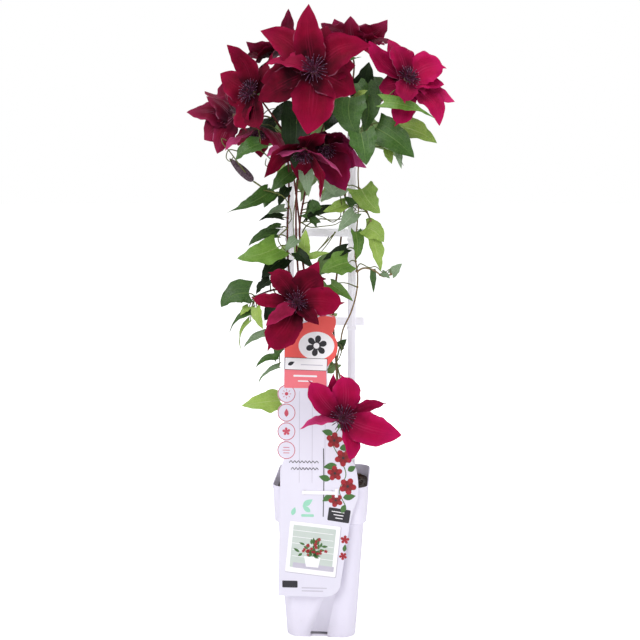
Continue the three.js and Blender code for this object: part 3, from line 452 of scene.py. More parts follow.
class Effect(Graph):
    """A shader node group that gives a surface its colour, roughness and height."""

    def __init__(self, name: str, colours: str, numbers: str) -> None:
        """Starts the group.

        Args:
            name: Name of the group.
            colours: Names of its colour inputs, with spaces between them.
            numbers: Names of its number inputs, with spaces between them.
        """
        super().__init__(bpy.data.node_groups.new(name, "ShaderNodeTree"))
        for kind, names in ((COLOUR, colours), (NUMBER, numbers)):
            for key in names.split():
                self.tree.interface.new_socket(name=key, in_out="INPUT", socket_type=kind)
        self.given = self.add("NodeGroupInput")
        self.where = self.add("ShaderNodeTexCoord").outputs["Object"]

    def __getitem__(self, key: str) -> Wire:
        """Returns the named input of the group."""
        return Wire(self, self.given.outputs[key])

    def finish(self, color: Wire, roughness: Wire, height: Wire) -> NodeTree:
        """Gives the group its outputs and returns it.

        Args:
            color: Feeds the base colour.
            roughness: Feeds the roughness.
            height: Feeds the relief.
        """
        outputs = {"Color": color, "Roughness": roughness, "Height": height}
        for key, kind in zip(outputs, (COLOUR, NUMBER, NUMBER)):
            self.tree.interface.new_socket(name=key, in_out="OUTPUT", socket_type=kind)
        self.add("NodeGroupOutput", outputs)
        return self.tree

    def mix(self, factor: Wire, a: object, b: object) -> Wire:
        """Returns a colour that goes from one to another.

        Args:
            factor: How much of the second colour is in it.
            a: The first colour.
            b: The second colour.
        """
        node = self.add("ShaderNodeMix", data_type="RGBA")
        self.feed_all(node, ((0, factor), (6, a), (7, b)))
        return Wire(self, node.outputs[2])

    def stretched(self, scale: Point) -> NodeSocket:
        """Returns the position on the object, scaled along each axis."""
        return self.add("ShaderNodeMapping", {"Vector": self.where, "Scale": scale}).outputs[0]

    def noise(
        self, scale: object, detail: float, roughness: float, where: Optional[NodeSocket] = None
    ) -> Wire:
        """Returns a noise from 0 to 1.

        Args:
            scale: How fine it is.
            detail: How many finer noises are laid on it.
            roughness: How strong those are.
            where: The position that it is read at, if not that on the object.
        """
        inputs = {"Vector": where or self.where, "Scale": scale, "Detail": detail, "Roughness": roughness}
        return Wire(self, self.add("ShaderNodeTexNoise", inputs).outputs["Fac"])

    def blade(self) -> Tuple[Wire, Wire, Wire]:
        """Returns the place across a blade (-1 to 1), along it (0 to 1), and its own tone."""
        uv = self.add("ShaderNodeUVMap", uv_map="blade")
        split = self.add("ShaderNodeSeparateXYZ", {"Vector": uv.outputs[0]})
        tone = self.add("ShaderNodeAttribute", attribute_name="tone", attribute_type="GEOMETRY")
        across, along = (Wire(self, split.outputs[i]) for i in (0, 1))
        return across * 2 - 1, along, Wire(self, tone.outputs["Fac"])


def hexed(code: int) -> Colour:
    """Returns the linear colour of a hex code such as 0x8F0A2C."""
    parts = (((code >> shift) & 255) / 255 for shift in (16, 8, 0))
    return tuple(p / 12.92 if p <= 0.04045 else ((p + 0.055) / 1.055) ** 2.4 for p in parts)


# ---- effects ----


# Colours of two painted highlights on the tepals: a pink sheen, and a pale sheen along the very edge.
PAINTED_PINK_SHEEN = hexed(0xC05088)
PAINTED_EDGE_SHEEN = hexed(0xB87C98)


@cache
def petal_velvet() -> NodeTree:
    """Returns the effect of a tepal: lengthwise veins, three ribs, soft mottling, painted shade and
    highlights.
    """
    g = Effect("petal_velvet", "Body Deep Edge Rib", "Ribs Veins Mottle Hem")
    across, along, tone = g.blade()
    side = abs(across)
    cloud, fine = g.noise(45, 3, 0.6), g.noise(420, 2, 0.6)
    stripes = ((across + (cloud * 0.16 - 0.08)) * 46).sine()
    veins = (1 - abs(stripes) ** 2.2) * along.ramp(0.98, 0.6)
    middle, outer = side.ramp(0.07, 0.0), abs(side - TEPAL_RIB).ramp(0.05, 0.0)
    ribs = middle.most(outer * 0.7) * along.ramp(1.0, 0.35)
    # Painted shade: tepals darken towards the foot, where they crowd in the cup's shade, and a low tone
    # darkens a tepal that lies in shadow.
    lit = (along.ramp(0.05, 0.6, 0.0, 0.75) + (tone * 0.9 - 0.45)).clamp()
    lit = (lit + (cloud - 0.5) * g["Mottle"] * 2.4).clamp()
    colour = g.mix(lit, g["Deep"], g["Body"])
    # Painted light: edges and tip brighten towards the Edge colour, the more so the higher the tepal's tone.
    rim = side.ramp(0.45, 1.0) * along.ramp(0.1, 0.6)
    tip = (rim * 0.6).most(along.ramp(0.55, 1.0, 0, 0.6))
    colour = g.mix(tip * (tone * 0.8 + 0.2), colour, g["Edge"])
    # Painted highlight: a tone above 1 lays a pink sheen over the tepal.
    pink_sheen = tone.ramp(1.0, 2.0) * (cloud * 1.2 - 0.05).clamp()
    colour = g.mix(pink_sheen, colour, PAINTED_PINK_SHEEN)
    colour = g.mix(ribs * g["Ribs"], colour, g["Rib"])
    colour = g.mix(veins * g["Veins"] * 0.5, colour, g["Deep"])
    # Painted highlight: a thin pale line of sheen along parts of the very edge.
    hem = side.ramp(0.9, 0.99) * cloud.ramp(0.52, 0.6)
    colour = g.mix(hem * g["Hem"], colour, PAINTED_EDGE_SHEEN)
    return g.finish(colour, fine * 0.2 + 0.48, veins * -0.35 + ribs * 0.9 + fine * 0.35)


@cache
def leaf_veins() -> NodeTree:
    """Returns the effect of a leaf: arched main veins, a fine net between them and uneven green."""
    g = Effect("leaf_veins", "Body Deep Vein", "Veins Spots")
    across, along, tone = g.blade()
    side = abs(across)
    cloud = g.noise(60, 3, 0.6)
    bent = side + (cloud * 0.08 - 0.04)
    main = side.ramp(along * -0.04 + 0.075, 0.0)
    inner, outer = (abs(bent - place).ramp(wide, 0.0) for place, wide in zip(LEAF_VEINS, (0.035, 0.03)))
    arched = inner.most(outer * 0.7) * along.ramp(0.98, 0.5)
    veins = main.most(arched * 0.5)
    cells = g.add("ShaderNodeTexVoronoi", {"Vector": g.where, "Scale": 330}, feature="DISTANCE_TO_EDGE")
    cell = Wire(g, cells.outputs["Distance"])
    net = cell.ramp(0.14, 0.0)
    rungs = abs((along * 46 + bent * -14).sine()).ramp(0.22, 0.0) * 0.4
    lit = (tone * 0.6 + 0.1 + (cloud * 1.1 - 0.4)).clamp()
    colour = g.mix(lit, g["Deep"], g["Body"])
    colour = g.mix(veins.most(net.most(rungs) * 0.3) * g["Veins"], colour, g["Vein"])
    speck = g.noise(240, 2, 0.7).ramp(0.63, 0.75)
    colour = g.mix(speck * g["Spots"], colour, g["Vein"])
    return g.finish(colour, cloud * 0.22 + 0.36, cell * 0.5 - veins * 0.9 - rungs * 0.3)


@cache
def moulded() -> NodeTree:
    """Returns the effect of moulded plastic: faint flow lines, fine grain and grime near the foot."""
    g = Effect("moulded", "Body Shade Grime", "Dirt Gloss")
    height = Wire(g, g.add("ShaderNodeSeparateXYZ", {"Vector": g.where}).outputs[2])
    flow = g.noise(1, 3, 0.6, g.stretched((60, 60, 6)))
    cloud, grain = g.noise(26, 4, 0.6), g.noise(1500, 2, 0.6)
    spots = g.noise(140, 4, 0.7).ramp(0.6, 0.78)
    dirt = ((height.ramp(0.05, 0.0) * cloud + spots) * g["Dirt"]).clamp()
    colour = g.mix(dirt, g.mix(flow * 0.55, g["Body"], g["Shade"]), g["Grime"])
    roughness = (g["Gloss"] + (cloud * 0.2 - 0.1) + dirt * 0.4).clamp()
    return g.finish(colour, roughness, grain + flow * 0.6)


@cache
def fibres() -> NodeTree:
    """Returns the effect of stems, peat and flower parts: streaks and grain."""
    g = Effect("fibres", "Body Deep Light", "Scale Flecks")
    _, _, tone = g.blade()
    coarse = g.noise(g["Scale"], 4, 0.5)
    streak = g.noise(g["Scale"], 3, 0.5, g.stretched((3, 3, 0.5)))
    lit = (coarse * 1.8 - 0.65 + (tone * 0.8 - 0.3)).clamp()
    colour = g.mix(lit, g["Deep"], g["Body"])
    colour = g.mix(streak.ramp(0.6, 0.72) * g["Flecks"], colour, g["Light"])
    return g.finish(colour, coarse * 0.3 + 0.5, coarse + streak)


@cache
def ink() -> NodeTree:
    """Returns the effect of slightly uneven printed ink."""
    g = Effect("ink", "Body Deep", "Gloss")
    cloud, fine = g.noise(70, 3, 0.6), g.noise(1400, 2, 0.5)
    return g.finish(g.mix(cloud, g["Body"], g["Deep"]), g["Gloss"] + (fine * 0.1 - 0.05), fine)


# ---- finishes ----


Values = Tuple[Tuple[str, object], ...]
GLOSS = "Specular IOR Level"


def shader_of(material: Material) -> Node:
    """Returns the surface shader of a new material."""
    return next(n for n in material.node_tree.nodes if n.type == "BSDF_PRINCIPLED")


@dataclass(frozen=True)
class Finish:
    """One surface finish: a shared effect with its own values on a shader.

    Its relief and depth tell how strong and how deep the bumps are, and its
    shader values go into the shader's own sockets.
    """

    name: str
    effect: Callable[[], NodeTree]
    values: Values
    relief: float = 0.3
    depth: float = 0.0004
    shader: Values = ()

    def material(self) -> Material:
        """Builds the material, or returns the one already built."""
        found = bpy.data.materials.get(self.name)
        if found:
            return found
        material = bpy.data.materials.new(self.name)
        material.use_nodes = True
        g = Graph(material.node_tree)
        group = g.add("ShaderNodeGroup", node_tree=self.effect())
        g.feed_all(group, self.values)
        height = group.outputs["Height"]
        bump = g.add("ShaderNodeBump", {"Height": height, "Strength": self.relief, "Distance": self.depth})
        shader = shader_of(material)
        g.feed(shader.inputs["Base Color"], group.outputs["Color"])
        g.feed(shader.inputs["Roughness"], group.outputs["Roughness"])
        g.feed(shader.inputs["Normal"], bump.outputs["Normal"])
        g.feed_all(shader, self.shader)
        return material


def hexes(**codes: int) -> Values:
    """Returns colour inputs by their names, from hex codes."""
    return tuple((key, hexed(code)) for key, code in codes.items())


def velvet(
    name: str, body: int, deep: int, edge: int, rib: int, ribs: float, sheen: float, tint: int, hem: float
) -> Finish:
    """Returns the finish of one face of the tepals.

    Args:
        name: Name of the material.
        body: Its main colour.
        deep: The colour near the foot, where it is painted shade, and in the veins.
        edge: The colour towards the edge and the tip, painted light that grows with the tepal's tone.
        rib: The colour of the ribs.
        ribs: How clearly the ribs show.
        sheen: Weight of the velvety sheen.
        tint: Colour of the sheen.
        hem: How strong the painted sheen along the very edge is.
    """
    colours = hexes(Body=body, Deep=deep, Edge=edge, Rib=rib)
    values = (*colours, ("Ribs", ribs), ("Veins", 0.28), ("Mottle", 0.6), ("Hem", hem))
    gleam = (("Sheen Weight", sheen), ("Sheen Roughness", 0.4), ("Sheen Tint", hexed(tint)), (GLOSS, 0.06))
    return Finish(name, petal_velvet, values, 0.5, 0.0005, gleam)


def greenery(name: str, body: int, deep: int, vein: int, veins: float = 0.5, gloss: float = 0.45) -> Finish:
    """Returns the finish of one face of the leaves.

    Args:
        name: Name of the material.
        body: Its main colour.
        deep: The colour of its darker patches.
        vein: The colour of the veins.
        veins: How clearly the veins show.
        gloss: Strength of the highlights.
    """
    values = (*hexes(Body=body, Deep=deep, Vein=vein), ("Veins", veins), ("Spots", 0.12))
    return Finish(name, leaf_veins, values, 0.55, 0.0005, ((GLOSS, gloss),))


def plastic(name: str, body: int, shade: int, gloss: float, dirt: float, painted_glow: float = 0) -> Finish:
    """Returns the finish of a moulded plastic part.

    Args:
        name: Name of the material.
        body: Its main colour.
        shade: The colour of its flow lines.
        gloss: Roughness of the skin.
        dirt: How much grime shows.
        painted_glow: Strength of a painted glow that brightens the plastic where the lamps leave it in shade.
    """
    values = (*hexes(Body=body, Shade=shade, Grime=0x8A7866), ("Dirt", dirt), ("Gloss", gloss))
    painted_glow_inputs = (("Emission Color", hexed(body)), ("Emission Strength", painted_glow))
    return Finish(name, moulded, values, 0.12, 0.0002, ((GLOSS, 0.45), *painted_glow_inputs))


def fibrous(
    name: str, body: int, deep: int, light: int, scale: float, flecks: float, relief: float = 0.6
) -> Finish:
    """Returns the finish of a stem, stamen, bud or peat.

    Args:
        name: Name of the material.
        body: Its main colour.
        deep: The colour of its darker patches.
        light: The colour of its flecks.
        scale: How fine the grain is.
        flecks: How clearly the flecks show.
        relief: How strong the bumps are.
    """
    values = (*hexes(Body=body, Deep=deep, Light=light), ("Scale", scale), ("Flecks", flecks))
    return Finish(name, fibres, values, relief, 0.0004, ((GLOSS, 0.3),))


def printed(name: str, body: int, deep: int) -> Finish:
    """Returns the finish of an ink on the label."""
    return Finish(name, ink, (*hexes(Body=body, Deep=deep), ("Gloss", 0.38)), 0.05, 0.0001)


class Petals(Enum):
    """Colours of the blooms, each with the values of its upper face and of its reverse."""

    CRIMSON = (
        (0x800228, 0x2A010C, 0x9E0A42, 0x9A1E44, 0.25, 0.03, 0xC02850, 0.25),
        (0x760C2C, 0x300416, 0x9C2C58, 0xA06882, 0.35, 0.06, 0xD080A0, 0.5),
    )
    MAGENTA = (
        (0xA40640, 0x4E021E, 0xC01864, 0xB83460, 0.3, 0.04, 0xE04078, 0.25),
        (0x982652, 0x54102E, 0xB85084, 0xB888A0, 0.4, 0.12, 0xE090B0, 0.5),
    )
    # A darker copy of the crimson for the bloom that lies in shade: painted shade.
    DUSK = (
        (0x780A30, 0x120107, 0x98205C, 0x7C1838, 0.2, 0.04, 0xA02850, 0.35),
        (0x7C1640, 0x2A0616, 0xAC4C80, 0xA06C88, 0.4, 0.12, 0xD080A0, 0.5),
    )

    def finishes(self) -> Tuple[Finish, Finish]:
        """Returns the finishes of the two faces."""
        name, (upper, under) = f"tepal_{self.name.lower()}", self.value
        return velvet(name, *upper), velvet(f"{name}_reverse", *under)


class LeafTone(Enum):
    """Greens of the leaves, each with its name and the values of its upper face and its underside."""

    # D is a darker copy of the green, put on leaves that lie in shade: painted shade. Y, the pale green of
    # young leaves, is also put on leaves that the lamps leave too dark: painted light.
    D = ("dark", (0x182C0F, 0x060D04, 0x405A2A, 0.35, 0.2), (0x425C30, 0x24381A, 0x70885A))
    M = ("green", (0x3A641A, 0x142E0A, 0x74944A), (0x72904E, 0x46662C, 0x9EB47A))
    L = ("light", (0x6A9230, 0x2E5814, 0xA0B868), (0x96B062, 0x648842, 0xBCCE90))
    Y = ("yellow", (0xA2BE54, 0x628A30, 0xC8D690), (0xB4C87C, 0x88A458, 0xD0DCA8))
    G = ("grey", (0x8CA480, 0x587450, 0xC0CCB4), (0x98AC8C, 0x6C8662, 0xC0CCB0))

    def finishes(self) -> Tuple[Finish, Finish]:
        """Returns the finishes of the two faces."""
        name, upper, under = self.value
        return greenery(f"leaf_{name}", *upper), greenery(f"leaf_{name}_under", *under)


POT_PLASTIC = plastic("pot_plastic", 0xEFEBF9, 0xE0DAF0, 0.42, 0.08)
# The trellis glows a little: painted light that keeps it white in the shade of the leaves.
TRELLIS_PLASTIC = plastic("trellis_plastic", 0xFAF8FF, 0xECE8F8, 0.4, 0.03, 0.12)
CARD = plastic("label_card", 0xE4E1EF, 0xDAD6E6, 0.36, 0.02)
STRAP = plastic("strap_plastic", 0xF8F6FB, 0xEAE6F2, 0.35, 0.02)
PEAT = fibrous("peat", 0x4A3020, 0x1E120A, 0x7C6044, 260, 0.5, 1.0)
CRUMB = fibrous("peat_crumb", 0x5A3C28, 0x24160D, 0x8C7050, 700, 0.5, 0.8)
FIBRE = fibrous("coir", 0x8A6A48, 0x4C3420, 0xB09870, 900, 0.4)
BARK_RED = fibrous("stem_red", 0x7C3A34, 0x45181A, 0x9C7458, 500, 0.5)
BARK_GREEN = fibrous("stem_green", 0x7C8448, 0x56582C, 0xA8A070, 500, 0.4)
BARK_BROWN = fibrous("stem_brown", 0x7A5A3C, 0x48301F, 0xA88C68, 400, 0.6)
BARK_TAN = fibrous("stem_tan", 0xA08A62, 0x6E5438, 0xC0B088, 400, 0.5)
FILAMENT = fibrous("filament", 0x903E68, 0x4E1838, 0xC490AC, 900, 0.4, 0.2)
ANTHER = fibrous("anther", 0x562046, 0x240A1C, 0xB080A4, 1200, 0.7, 0.4)
ANTHER_TIP = fibrous("anther_tip", 0xC0A0BC, 0x7A4A70, 0xE8D8E4, 900, 0.4, 0.2)
STYLE = fibrous("style", 0x7A2C44, 0x3A1020, 0xD8B8A8, 900, 0.5, 0.3)
RECEPTACLE = fibrous("receptacle", 0x6E5A3C, 0x4A2A26, 0x8C8458, 700, 0.3, 0.4)
BUD_SKIN = fibrous("bud_skin", 0x6C5862, 0x3A2A34, 0xA8949C, 500, 0.5, 0.6)


# ---- blades ----


class Outline(Enum):
    """How a blade's width runs from its foot to its tip."""

    ACUTE = (0.03, 0.8, 0.95)
    SLIM = (0.05, 0.8, 1.2)
    BROAD = (0.1, 0.6, 1.0)
    ROUND = (0.03, 0.8, 0.55)
    LEAF = (0.12, 0.5, 1.05)
    HEART = (0.2, 0.42, 0.9)
    TAIL = (0.12, 0.55, 1.7)

    def width(self, t: Array) -> Array:
        """Returns the share of the full width at each share of the length."""
        start, rise, fall = self.value
        k = np.linspace(0, 1, 200)
        peak = ((k + start) ** rise * (1 - k) ** fall).max()
        if self is not Outline.ROUND:
            return (t + start) ** rise * np.clip(1 - t, 0, 1) ** fall / peak
        full = (t + start) ** rise * np.clip(1 - t / 0.92, 0, 1) ** fall / peak
        return np.maximum(full, 0.55 * np.clip(1 - t, 0, 1) ** 0.7)


class Sheet:
    """The spots of a blade while it takes shape.

    Its spots lie s across (-1 to 1, a row) and t along (0 to 1, a column),
    with half widths w. They rise, move out to the right and move back towards
    the foot by as many millimetres.
    """

    def __init__(self, rng: random.Random, s: Array, t: Array, w: Array) -> None:
        """Starts a flat sheet with its own source of random draws."""
        self.rng, self.s, self.t, self.w = rng, s, t, w
        self.edge = np.abs(s)
        self.swell = np.sin(pi * np.clip(t, 0, 1)) ** 0.7
        self.rise, self.out, self.back = (np.zeros((len(t), len(s))) for _ in range(3))


@dataclass(frozen=True)
class Blade:
    """A tepal or a leaf: a thin sheet on a bent centre line.

    The centre line arches out by arch, bends back by curl and bends sideways
    by bow. The sheet rolls about its length by roll degrees, its edges rise by
    fold of its half width and ripple by wave millimetres. Its tone, from 0 to
    1, tells how bright it is.
    """

    base: Point
    tip: Point
    hint: Point
    width: float
    arch: float
    curl: float
    roll: float
    fold: float
    bow: float
    tone: float
    outline: Outline
    wave: float = 1.0
    seed: int = 0
    thickness: float = 0.5

    @property
    def length(self) -> float:
        """Returns the straight length."""
        return dist(self.tip, self.base)

    @property
    def leafy(self) -> bool:
        """Tells whether this is a leaf."""
        return self.outline in (Outline.LEAF, Outline.HEART, Outline.TAIL)

    def frame(self, t: Array) -> Tuple[Array, Array, Array, Array]:
        """Returns the centre line and its directions.

        Args:
            t: Shares of the length.

        Returns:
            Points, tangents, normals and side directions, one row for each t.
        """
        base = np.array(self.base, float)
        run = np.array(self.tip, float) - base
        along = unit(run)
        hint = np.array(self.hint, float)
        up = unit(hint - along * hint.dot(along))
        across = np.cross(along, up)
        t = t[:, None]
        rise = self.arch * np.sin(pi * t) + self.curl * 0.5 * np.sin(2 * pi * t)
        at = base + run * t + up * rise + across * (self.bow * np.sin(pi * t))
        slope = pi * (self.arch * np.cos(pi * t) + self.curl * np.cos(2 * pi * t))
        tangent = unit(run + up * slope + across * (self.bow * pi * np.cos(pi * t)))
        n0 = unit(up - tangent * (tangent @ up)[:, None])
        s0 = np.cross(tangent, n0)
        a = radians(self.roll) * np.minimum(1, 0.25 + t)
        normal = n0 * np.cos(a) + s0 * np.sin(a)
        side = s0 * np.cos(a) - n0 * np.sin(a)
        return at, tangent, normal, side

    def ripple(self, sheet: Sheet) -> None:
        """Ripples the two edges of the sheet."""
        turn = 2 * pi * sheet.t
        for sign in (-1, 1):
            beat, start = sheet.rng.uniform(1.6, 2.6), sheet.rng.uniform(0, 2 * pi)
            one = (sheet.s * sign > 0) * sheet.edge**2.2
            ripple = np.sin(beat * turn + start) + 0.45 * np.sin(2.3 * beat * turn + 2 * start)
            frill = 0.04 * np.sin((beat + 1.3) * turn + 2 * start) + 0.02 * np.sin(3.1 * beat * turn + start)
            sheet.rise += self.wave * sheet.swell * ripple * one
            sheet.out += sign * frill * sheet.w * one

    def shape_leaf(self, sheet: Sheet) -> None:
        """Gives the sheet the lobes, sunken veins, drooping tip and heart-shaped foot of a leaf."""
        rng, s, t = sheet.rng, sheet.s, sheet.t
        for sign in (-1, 1):
            share, lobe, place = rng.uniform(-0.1, 0.1), rng.uniform(-0.05, 0.2), rng.uniform(0.3, 0.5)
            grow = share + lobe * bump(t, place, 0.11) - 0.5 * lobe * bump(t, place + 0.2, 0.1)
            sheet.out += sign * grow * sheet.w * (s * sign > 0) * sheet.edge
        sheet.rise -= rng.uniform(0.0, 0.06) * self.length * np.clip((t - 0.6) / 0.4, 0, 1) ** 2
        veins = sum(bump(sheet.edge, place, 0.06) for place in (0.0, *LEAF_VEINS))
        sheet.rise -= 0.3 * min(1, self.width / 20) * veins * sheet.swell
        sheet.back += 0.14 * self.length * (1 - t) ** 2 * sheet.edge**1.5

    def shape_tepal(self, sheet: Sheet) -> None:
        """Gives the sheet the ribs, pleats and slow twist of a tepal, and a round one its hooked tip."""
        rng, s, t = sheet.rng, sheet.s, sheet.t
        ribs = 0.35 * bump(sheet.edge, TEPAL_RIB, 0.06) - 0.3 * bump(sheet.edge, 0, 0.05)
        pleat = 0.034 * np.cos(3.2 * pi * s + rng.uniform(-0.5, 0.5))
        slow = 0.14 * np.sin(2 * pi * (0.9 * t + rng.random()))
        twist = slow * (s * rng.uniform(0.4, 1.0) * rng.choice((-1, 1)))
        sheet.rise += (ribs + sheet.w * (pleat + twist)) * sheet.swell
        if self.outline is Outline.ROUND:
            hook = 0.08 if self.seed % 2 else -0.08
            sheet.out += hook * self.length * np.clip((t - 0.78) / 0.22, 0, 1) ** 2

    def add_to(self, book: MeshBook, rows: int, columns: int, upper: int, lower: int) -> None:
        """Adds the blade to a book.

        Args:
            book: The book that it goes into.
            rows: Steps along it.
            columns: Steps across it.
            upper: Material slot of the upper face.
            lower: Material slot of the underside.
        """
        t = 1 - (1 - np.linspace(0, 1, rows + 1)) ** 1.15
        t[-1] = 1
        half_turn = pi / 2 * 0.93
        s = np.sin(np.linspace(-half_turn, half_turn, columns + 1)) / sin(half_turn)
        w = (self.width / 2 * self.outline.width(t))[:, None]
        sheet = Sheet(random.Random(self.seed * 7919 + 13), s, t[:, None], w)
        self.ripple(sheet)
        if self.leafy:
            self.shape_leaf(sheet)
        else:
            self.shape_tepal(sheet)
        edge = sheet.edge
        sheet.out += s * w
        sheet.rise += self.fold * w * edge**1.5
        at, tangent, normal, side = (v[:, None] for v in self.frame(t))
        out, rise, back = (moved[..., None] for moved in (sheet.out, sheet.rise, sheet.back))
        grid = at + side * out + normal * rise - tangent * back
        thick = self.thickness * ((1 - 0.3 * sheet.t) * (1 - 0.6 * edge**3))[..., None]
        top, low = grid + normal * thick / 2, grid - normal * thick / 2
        across = columns + 1
        body = rows * across
        faces = ((face[:rows].reshape(-1, 3), face[rows, :1]) for face in (top, low))
        verts = np.concatenate([part for parts in faces for part in parts])
        u, v = np.meshgrid(s * 0.5 + 0.5, t[:rows])
        uv = np.concatenate([np.stack([u.ravel(), v.ravel()], 1), [[0.5, 1.0]]] * 2)
        n = body + 1
        faces: List[Face] = []
        slots: List[int] = []

        def add_pair(corners: Face) -> None:
            """Adds a face of the upper side and its fellow below."""
            faces.append(corners)
            slots.append(upper)
            faces.append(tuple(c + n for c in reversed(corners)))
            slots.append(lower)

        for r in range(rows - 1):
            for k in range(columns):
                a = r * across + k
                add_pair((a, a + 1, a + 1 + across, a + across))
        for k in range(columns):
            a = (rows - 1) * across + k
            add_pair((a, a + 1, body))
        rim = list(range(across)) + [r * across + columns for r in range(1, rows)] + [body]
        rim += [r * across for r in range(rows - 1, 0, -1)]
        for a, b in zip(rim, rim[1:] + rim[:1]):
            faces.append((b, a, a + n, b + n))
            slots.append(upper)
        book.add(verts, faces, slots, uv, self.tone)


# ---- blooms ----


def tepal(
    bloom: "Bloom", number: int, x: float, y: float, z: float, width: float, arch: float, fold: float,
    tone: float, outline: Outline = Outline.ACUTE, roll: float = 0, curl: float = 0, bow: float = 0,
    wave: Optional[float] = None,
) -> Blade:
    """Returns a tepal, set in the outer or the inner whorl of its flower.

    Args:
        bloom: The flower that it grows on.
        number: Its number on the flower.
        x, y, z: Its tip.
        width, arch, fold, tone, outline, roll, curl, bow, wave: Its form, as Blade says.
    """
    tip = np.array((x, y, z), float)
    root = np.array(bloom.centre) + bloom.facing * (-5.6 if number % 2 else -2.0)
    way = tip - root
    way = unit(way - bloom.facing * way.dot(bloom.facing))
    wave = bloom.wave if wave is None else wave
    seed = ord(bloom.key) * 10 + number
    base = tuple(root + way * 2)
    return Blade(base, (x, y, z), bloom.axis, width, arch, curl, roll, fold, bow, tone, outline, wave, seed)


@dataclass
class Bloom:
    """A flower: its tepals on a receptacle, with a boss of stamens.

    Each tepal is a row of tepal's values. The stamens rise by about rise
    degrees and are reach long. Each whorl of them is (count, how much steeper
    than rise, share of reach).
    """

    key: str
    centre: Point
    axis: Point
    tepals: Sequence[Tuple]
    rise: float = 40
    colour: Petals = Petals.CRIMSON
    wave: float = 1.3
    depth: float = 7
    reach: float = 12
    receptacle: Sequence[Flat] = (
        (1.2, 0), (1.9, 0.8), (3.2, 1.8), (4.2, 3.2), (4.5, 4.6), (4.3, 6.2), (3.4, 7.2),
        (1.5, 7.7), (0.1, 7.8),
    )
    heart: Sequence[Flat] = ((2.6, 0), (3.3, 0.5), (3.0, 1.4), (2.0, 2.4), (0.2, 2.8))
    whorls: Sequence[Tuple[int, float, float]] = ((20, -12, 1), (17, 6, 1), (13, 26, 0.9))
    styles: int = 15

    @property
    def facing(self) -> Array:
        """Returns the way the flower faces, at length one."""
        return unit(np.array(self.axis, float))

    def build(self) -> None:
        """Makes the tepals with their receptacle, and the stamens."""
        book = MeshBook()
        for i, row in enumerate(self.tepals):
            tepal(self, i, *row).add_to(book, 26, 16, 0, 1)
        foot = np.array(self.centre) - self.facing * (self.depth + 0.4)
        add_turned(book, self.receptacle, foot, self.facing, 18, 2, 6, 0.05)
        tepals = book.make(f"tepals_{self.key}", [*self.colour.finishes(), RECEPTACLE], 50)
        settle_piece(tepals, "tepals", f"bloom_{self.key}")
        self.build_stamens()

    def build_stamens(self) -> None:
        """Makes the ring of filaments with their anthers, and the styles."""
        rng = random.Random(ord(self.key) * 31 + 5)
        book = MeshBook()
        turn = basis(self.axis)
        foot = np.array(self.centre) + self.facing * 0.3
        for ring, (count, steeper, share) in enumerate(self.whorls):
            for i in range(count):
                a = 2 * pi * (i + 0.5 * (ring % 2)) / count + rng.uniform(-0.1, 0.1)
                e = radians(min(86, self.rise + steeper + rng.uniform(-7, 7)))
                size = self.reach * share * rng.uniform(0.88, 1.05)
                path = self.stamen_path(rng, a, e, size, 3.0 - ring * 0.8)
                self.add_stamen(book, rng, path @ turn.T + foot)
        for i in range(self.styles):
            a, r = i * 2.4, 0.42 * sqrt(i)
            flat = np.array([cos(a), sin(a), 0])
            e = rng.uniform(0.9, 1.15)
            places = ((r, 0), (r * 1.05, 3.2 * e), (r * 1.5 + 0.5, 6.4 * e))
            style = smooth_path([flat * out + UP * high for out, high in places], 4) @ turn.T + foot
            add_tube(book, style, lambda k: 0.5 - 0.28 * k, 5, 3, rng.uniform(0.2, 1.0))
        add_turned(book, self.heart, foot, self.facing, 14, 1)
        boss = book.make(f"stamen_boss_{self.key}", [FILAMENT, ANTHER, ANTHER_TIP, STYLE], 60)
        settle_piece(boss, "stamens", f"stamens_{self.key}")

    @staticmethod
    def stamen_path(rng: random.Random, a: float, e: float, size: float, out: float) -> Array:
        """Returns the centre line of a stamen on a flower that faces up.

        Args:
            rng: Source of the random draws.
            a: Angle round the flower.
            e: Angle above the flower's plane.
            size: Its length.
            out: How far from the middle it starts.
        """
        flat = np.array([cos(a), sin(a), 0])
        start = flat * out + UP * 0.6
        way = flat * cos(e) + UP * sin(e)
        bow = (UP * 0.14 - flat * 0.04) * size * rng.uniform(0.2, 1.2)
        t = np.linspace(0, 1, 7)[:, None]
        return start + way * size * t + bow * np.sin(pi * t) * 0.6 - UP * (t**2) * size * 0.06

    @staticmethod
    def add_stamen(book: MeshBook, rng: random.Random, path: Array) -> None:
        """Adds a filament with its swollen anther and pale tip.

        Args:
            book: The book that it goes into.
            rng: Source of the random draws.
            path: Its centre line.
        """
        cut = 3
        add_tube(book, path[: cut + 1], lambda k: 0.27 - 0.05 * k, 5, 0, rng.uniform(0.2, 0.9))
        anther = smooth_path(path[cut:], 3)
        swollen = lambda k: 0.2 + 0.26 * np.sin(pi * np.clip(k * 0.94 + 0.03, 0, 1)) ** 0.6
        add_tube(book, anther, swollen, 6, 1, rng.uniform(0.1, 0.7))
        end = unit(path[-1] - path[-2])
        tip = np.array([path[-1] + end * step for step in (-0.3, 0.5, 1.1)])
        add_tube(book, tip, lambda k: 0.24 - 0.14 * k, 5, 2, rng.uniform(0.0, 0.9))


R, B, S, ACUTE = Outline.ROUND, Outline.BROAD, Outline.SLIM, Outline.ACUTE
TAIL, HEART = Outline.TAIL, Outline.HEART
